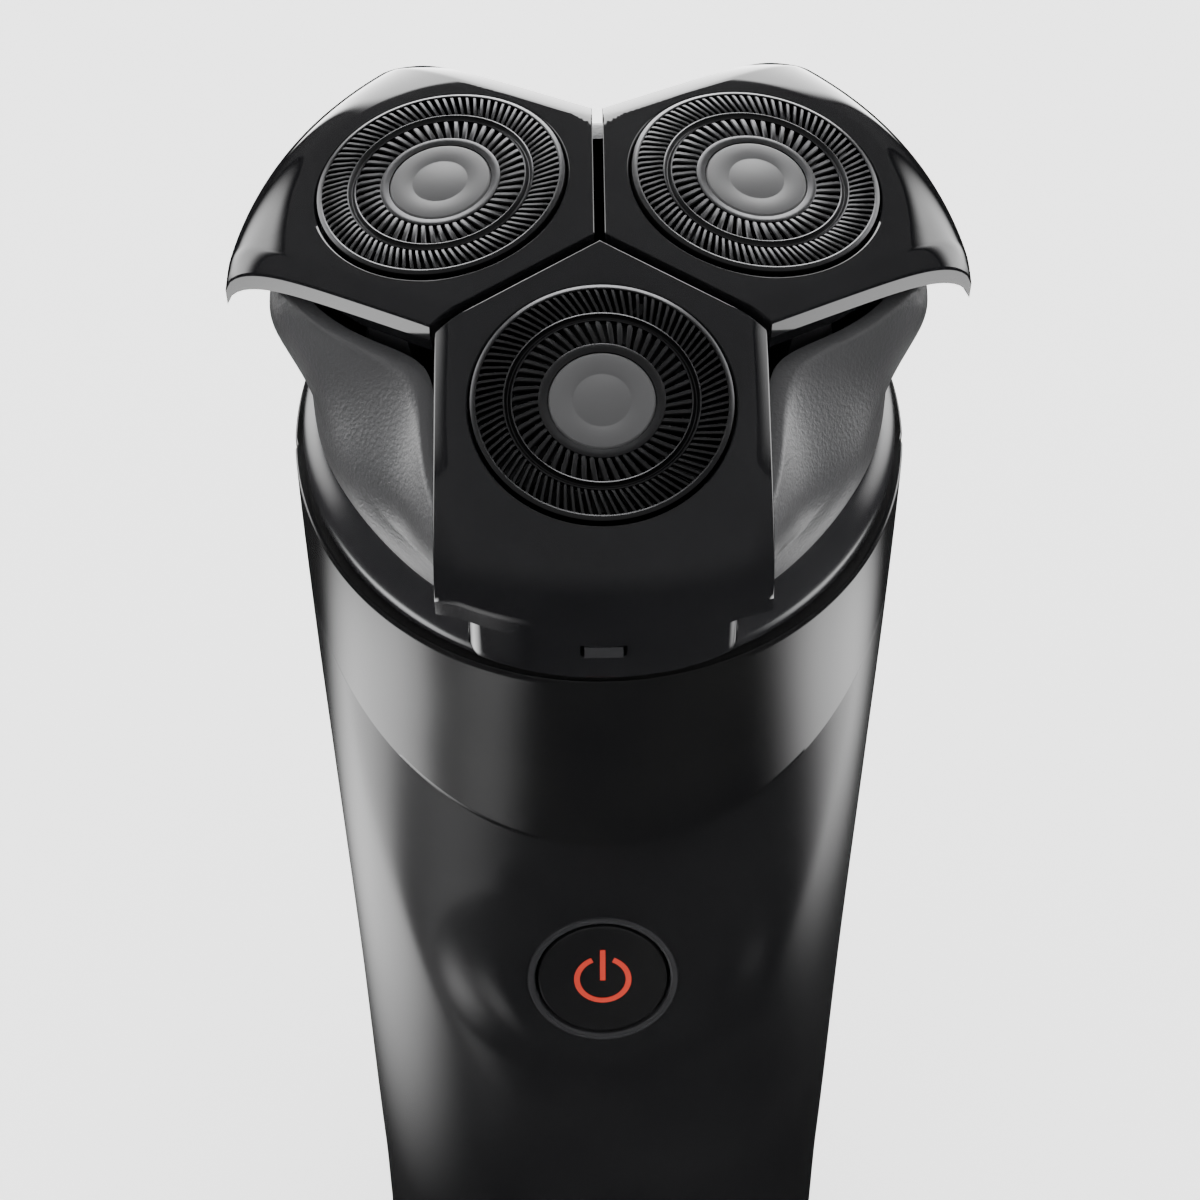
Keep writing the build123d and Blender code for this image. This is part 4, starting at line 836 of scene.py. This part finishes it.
# CAD nodes that keep their shape
kept = {"unit_hinge_pin": "steel", "drive_deck": "inner", "motor_plate": "inner", "plate_screws": "steel",
        "motor_can": "steel", "charge_socket": "inner", "charge_pins": "brass", "chassis": "gray",
        "battery_cell": "wrap", "circuit_board": "board", "power_switch": "inner", "trimmer_pin": "steel",
        "motor_shaft": "steel", "drive_pinion": "gear", "petal_carrier": "inner", "petal_pins": "steel",
        "unit_catch": "bezel", "trimmer_arm": "housing", "trimmer_comb": "steel", "trimmer_blade": "steel",
        "trimmer_latch": "latch"}
for petalName in petalAngles:
    kept["drive_gear_" + petalName] = "gear"
    kept["drive_spindle_" + petalName] = "inner"
    kept["cutter_retainer_" + petalName] = "inner"
    kept["cutter_" + petalName] = "cutter"
for nodeName, key in kept.items():
    for materialSlot in nodes[nodeName].material_slots:
        materialSlot.material = finish[key]
print("kept nodes done")

# floor and light
studio = {"floor": 0.9, "glow": 0.9, "over": ((0.0, 0.0, 2.2), (3.0, 3.0), 90.0),
          # reflected only: centre, half sizes, direction it faces, strength, where its edge starts to fade
          "cards": {"leftFloor": ((-0.112, 0.012, 0.002), (0.07, 0.095), (0, 0, 1), 5.0, 0.1),
                    "rightFloor": ((0.13, 0.025, 0.002), (0.05, 0.095), (0, 0, 1), 4.0, 0.1),
                    "frontFloor": ((-0.075, -0.08, 0.002), (0.04, 0.04), (0, 0, 1), 1.6, 0.1),
                    "backWall": ((0.0, 0.9, 0.62), (0.42, 0.68), (0, -1, 0), 12.0, 0.85),
                    "leftWall": ((-0.66, 0.42, 0.35), (0.36, 0.6), (1, -0.6, 0), 6.0, 0.4),
                    "rightWall": ((0.66, 0.42, 0.35), (0.36, 0.6), (-1, -0.6, 0), 6.0, 0.4)}}


def cardGlow(name, strength, fadeStart):
    # brightness that falls off smoothly from the middle to the edges
    material = bpy.data.materials.new(name)
    material.use_nodes = True
    tree = material.node_tree
    tree.nodes.clear()
    spot = tree.nodes.new("ShaderNodeTexCoord")
    split = tree.nodes.new("ShaderNodeSeparateXYZ")
    tree.links.new(spot.outputs["Object"], split.inputs[0])
    falls = []
    for axis in (0, 1):
        size = tree.nodes.new("ShaderNodeMath")
        size.operation = "ABSOLUTE"
        tree.links.new(split.outputs[axis], size.inputs[0])
        fall = tree.nodes.new("ShaderNodeMapRange")
        fall.interpolation_type = "SMOOTHERSTEP"
        for key, value in (("From Min", fadeStart), ("From Max", 1.0), ("To Min", 1.0), ("To Max", 0.0)):
            fall.inputs[key].default_value = value
        tree.links.new(size.outputs[0], fall.inputs["Value"])
        falls.append(fall.outputs["Result"])
    both = tree.nodes.new("ShaderNodeMath")
    both.operation = "MULTIPLY"
    tree.links.new(falls[0], both.inputs[0])
    tree.links.new(falls[1], both.inputs[1])
    scaled = tree.nodes.new("ShaderNodeMath")
    scaled.operation = "MULTIPLY"
    scaled.inputs[1].default_value = strength
    tree.links.new(both.outputs[0], scaled.inputs[0])
    glow = tree.nodes.new("ShaderNodeEmission")
    tree.links.new(scaled.outputs[0], glow.inputs["Strength"])
    out = tree.nodes.new("ShaderNodeOutputMaterial")
    tree.links.new(glow.outputs[0], out.inputs[0])
    return material


def aim(position, target):
    back = np.array(position, float) - np.array(target, float)
    back /= np.linalg.norm(back)
    right = np.cross([0, 1, 0.001] if abs(back[2]) > 0.99 else [0, 0, 1], back)
    right /= np.linalg.norm(right)
    matrix = np.eye(4)
    matrix[:3, 0], matrix[:3, 1], matrix[:3, 2] = right, np.cross(back, right), back
    matrix[:3, 3] = position
    return Matrix(matrix.tolist())


def makeStudio():
    turn = np.linspace(0, 2 * pi, 97)[:-1]
    profile = np.array([(0.001, 0.0), (0.4, 0.0), (2.0, 0.0), (3.0, 0.0), (3.6, 0.16), (3.9, 0.6), (4.0, 1.5),
                        (4.0, 4.0)])
    points = np.stack([profile[None, :, 0] * np.cos(turn)[:, None], profile[None, :, 0] * np.sin(turn)[:, None],
                       np.broadcast_to(profile[None, :, 1], (96, len(profile)))], -1)
    data = bpy.data.meshes.new("studioFloor")
    data.from_pydata(points.reshape(-1, 3).tolist(), [], gridFaces(96, len(profile), True)[:, ::-1].tolist())
    floor = bpy.data.objects.new("studioFloor", data)
    bpy.context.scene.collection.objects.link(floor)
    smooth(floor, 80)
    material, tree, shader = nodeTree("paleFloor")
    noise = addNoise(tree, 3.0, 2.0)
    value = studio["floor"]
    pale = tint(tree, spread(tree, noise.outputs["Fac"], 0, 1), (value,) * 3, (value + 0.02,) * 3)
    tree.links.new(pale, shader.inputs["Base Color"])
    shader.inputs["Roughness"].default_value = 0.8
    shader.inputs["Specular IOR Level"].default_value = 0.1
    data.materials.append(material)
    floor.visible_glossy = False
    shader.inputs["Emission Color"].default_value = (1, 1, 1, 1)
    shader.inputs["Emission Strength"].default_value = studio["glow"]
    position, size, power = studio["over"]
    light = bpy.data.lights.new("overFloor", "AREA")
    light.shape, light.size, light.size_y, light.energy = "RECTANGLE", size[0], size[1], power
    lamp = bpy.data.objects.new("overFloor", light)
    bpy.context.scene.collection.objects.link(lamp)
    lamp.matrix_world = aim(position, (0, 0, 0))
    lamp.visible_glossy = lamp.visible_camera = False
    for name, (centre, half, facing, strength, fadeStart) in studio["cards"].items():
        data = bpy.data.meshes.new(name)
        data.from_pydata([(-1, -1, 0), (1, -1, 0), (1, 1, 0), (-1, 1, 0)], [], [(0, 1, 2, 3)])
        data.materials.append(cardGlow(name, strength, fadeStart))
        card = bpy.data.objects.new(name, data)
        bpy.context.scene.collection.objects.link(card)
        turned = aim(centre, np.array(centre) - np.array(facing))
        card.matrix_world = turned @ Matrix.Diagonal((half[0], half[1], 1, 1))
        card.visible_camera = card.visible_diffuse = card.visible_shadow = card.visible_transmission = False
    # dim below, soft grey above
    world = bpy.data.worlds.new("studioAir")
    world.use_nodes = True
    tree = world.node_tree
    spot = tree.nodes.new("ShaderNodeTexCoord")
    split = tree.nodes.new("ShaderNodeSeparateXYZ")
    fade = tree.nodes.new("ShaderNodeMapRange")
    for key, value in (("From Min", -0.1), ("From Max", 0.5), ("To Min", 0.02), ("To Max", 0.3)):
        fade.inputs[key].default_value = value
    tree.links.new(spot.outputs["Generated"], split.inputs[0])
    tree.links.new(split.outputs["Z"], fade.inputs["Value"])
    tree.links.new(fade.outputs["Result"], tree.nodes["Background"].inputs["Strength"])
    tree.nodes["Background"].inputs["Color"].default_value = (1, 1, 1, 1)
    bpy.context.scene.world = world


makeStudio()
print("studio done")
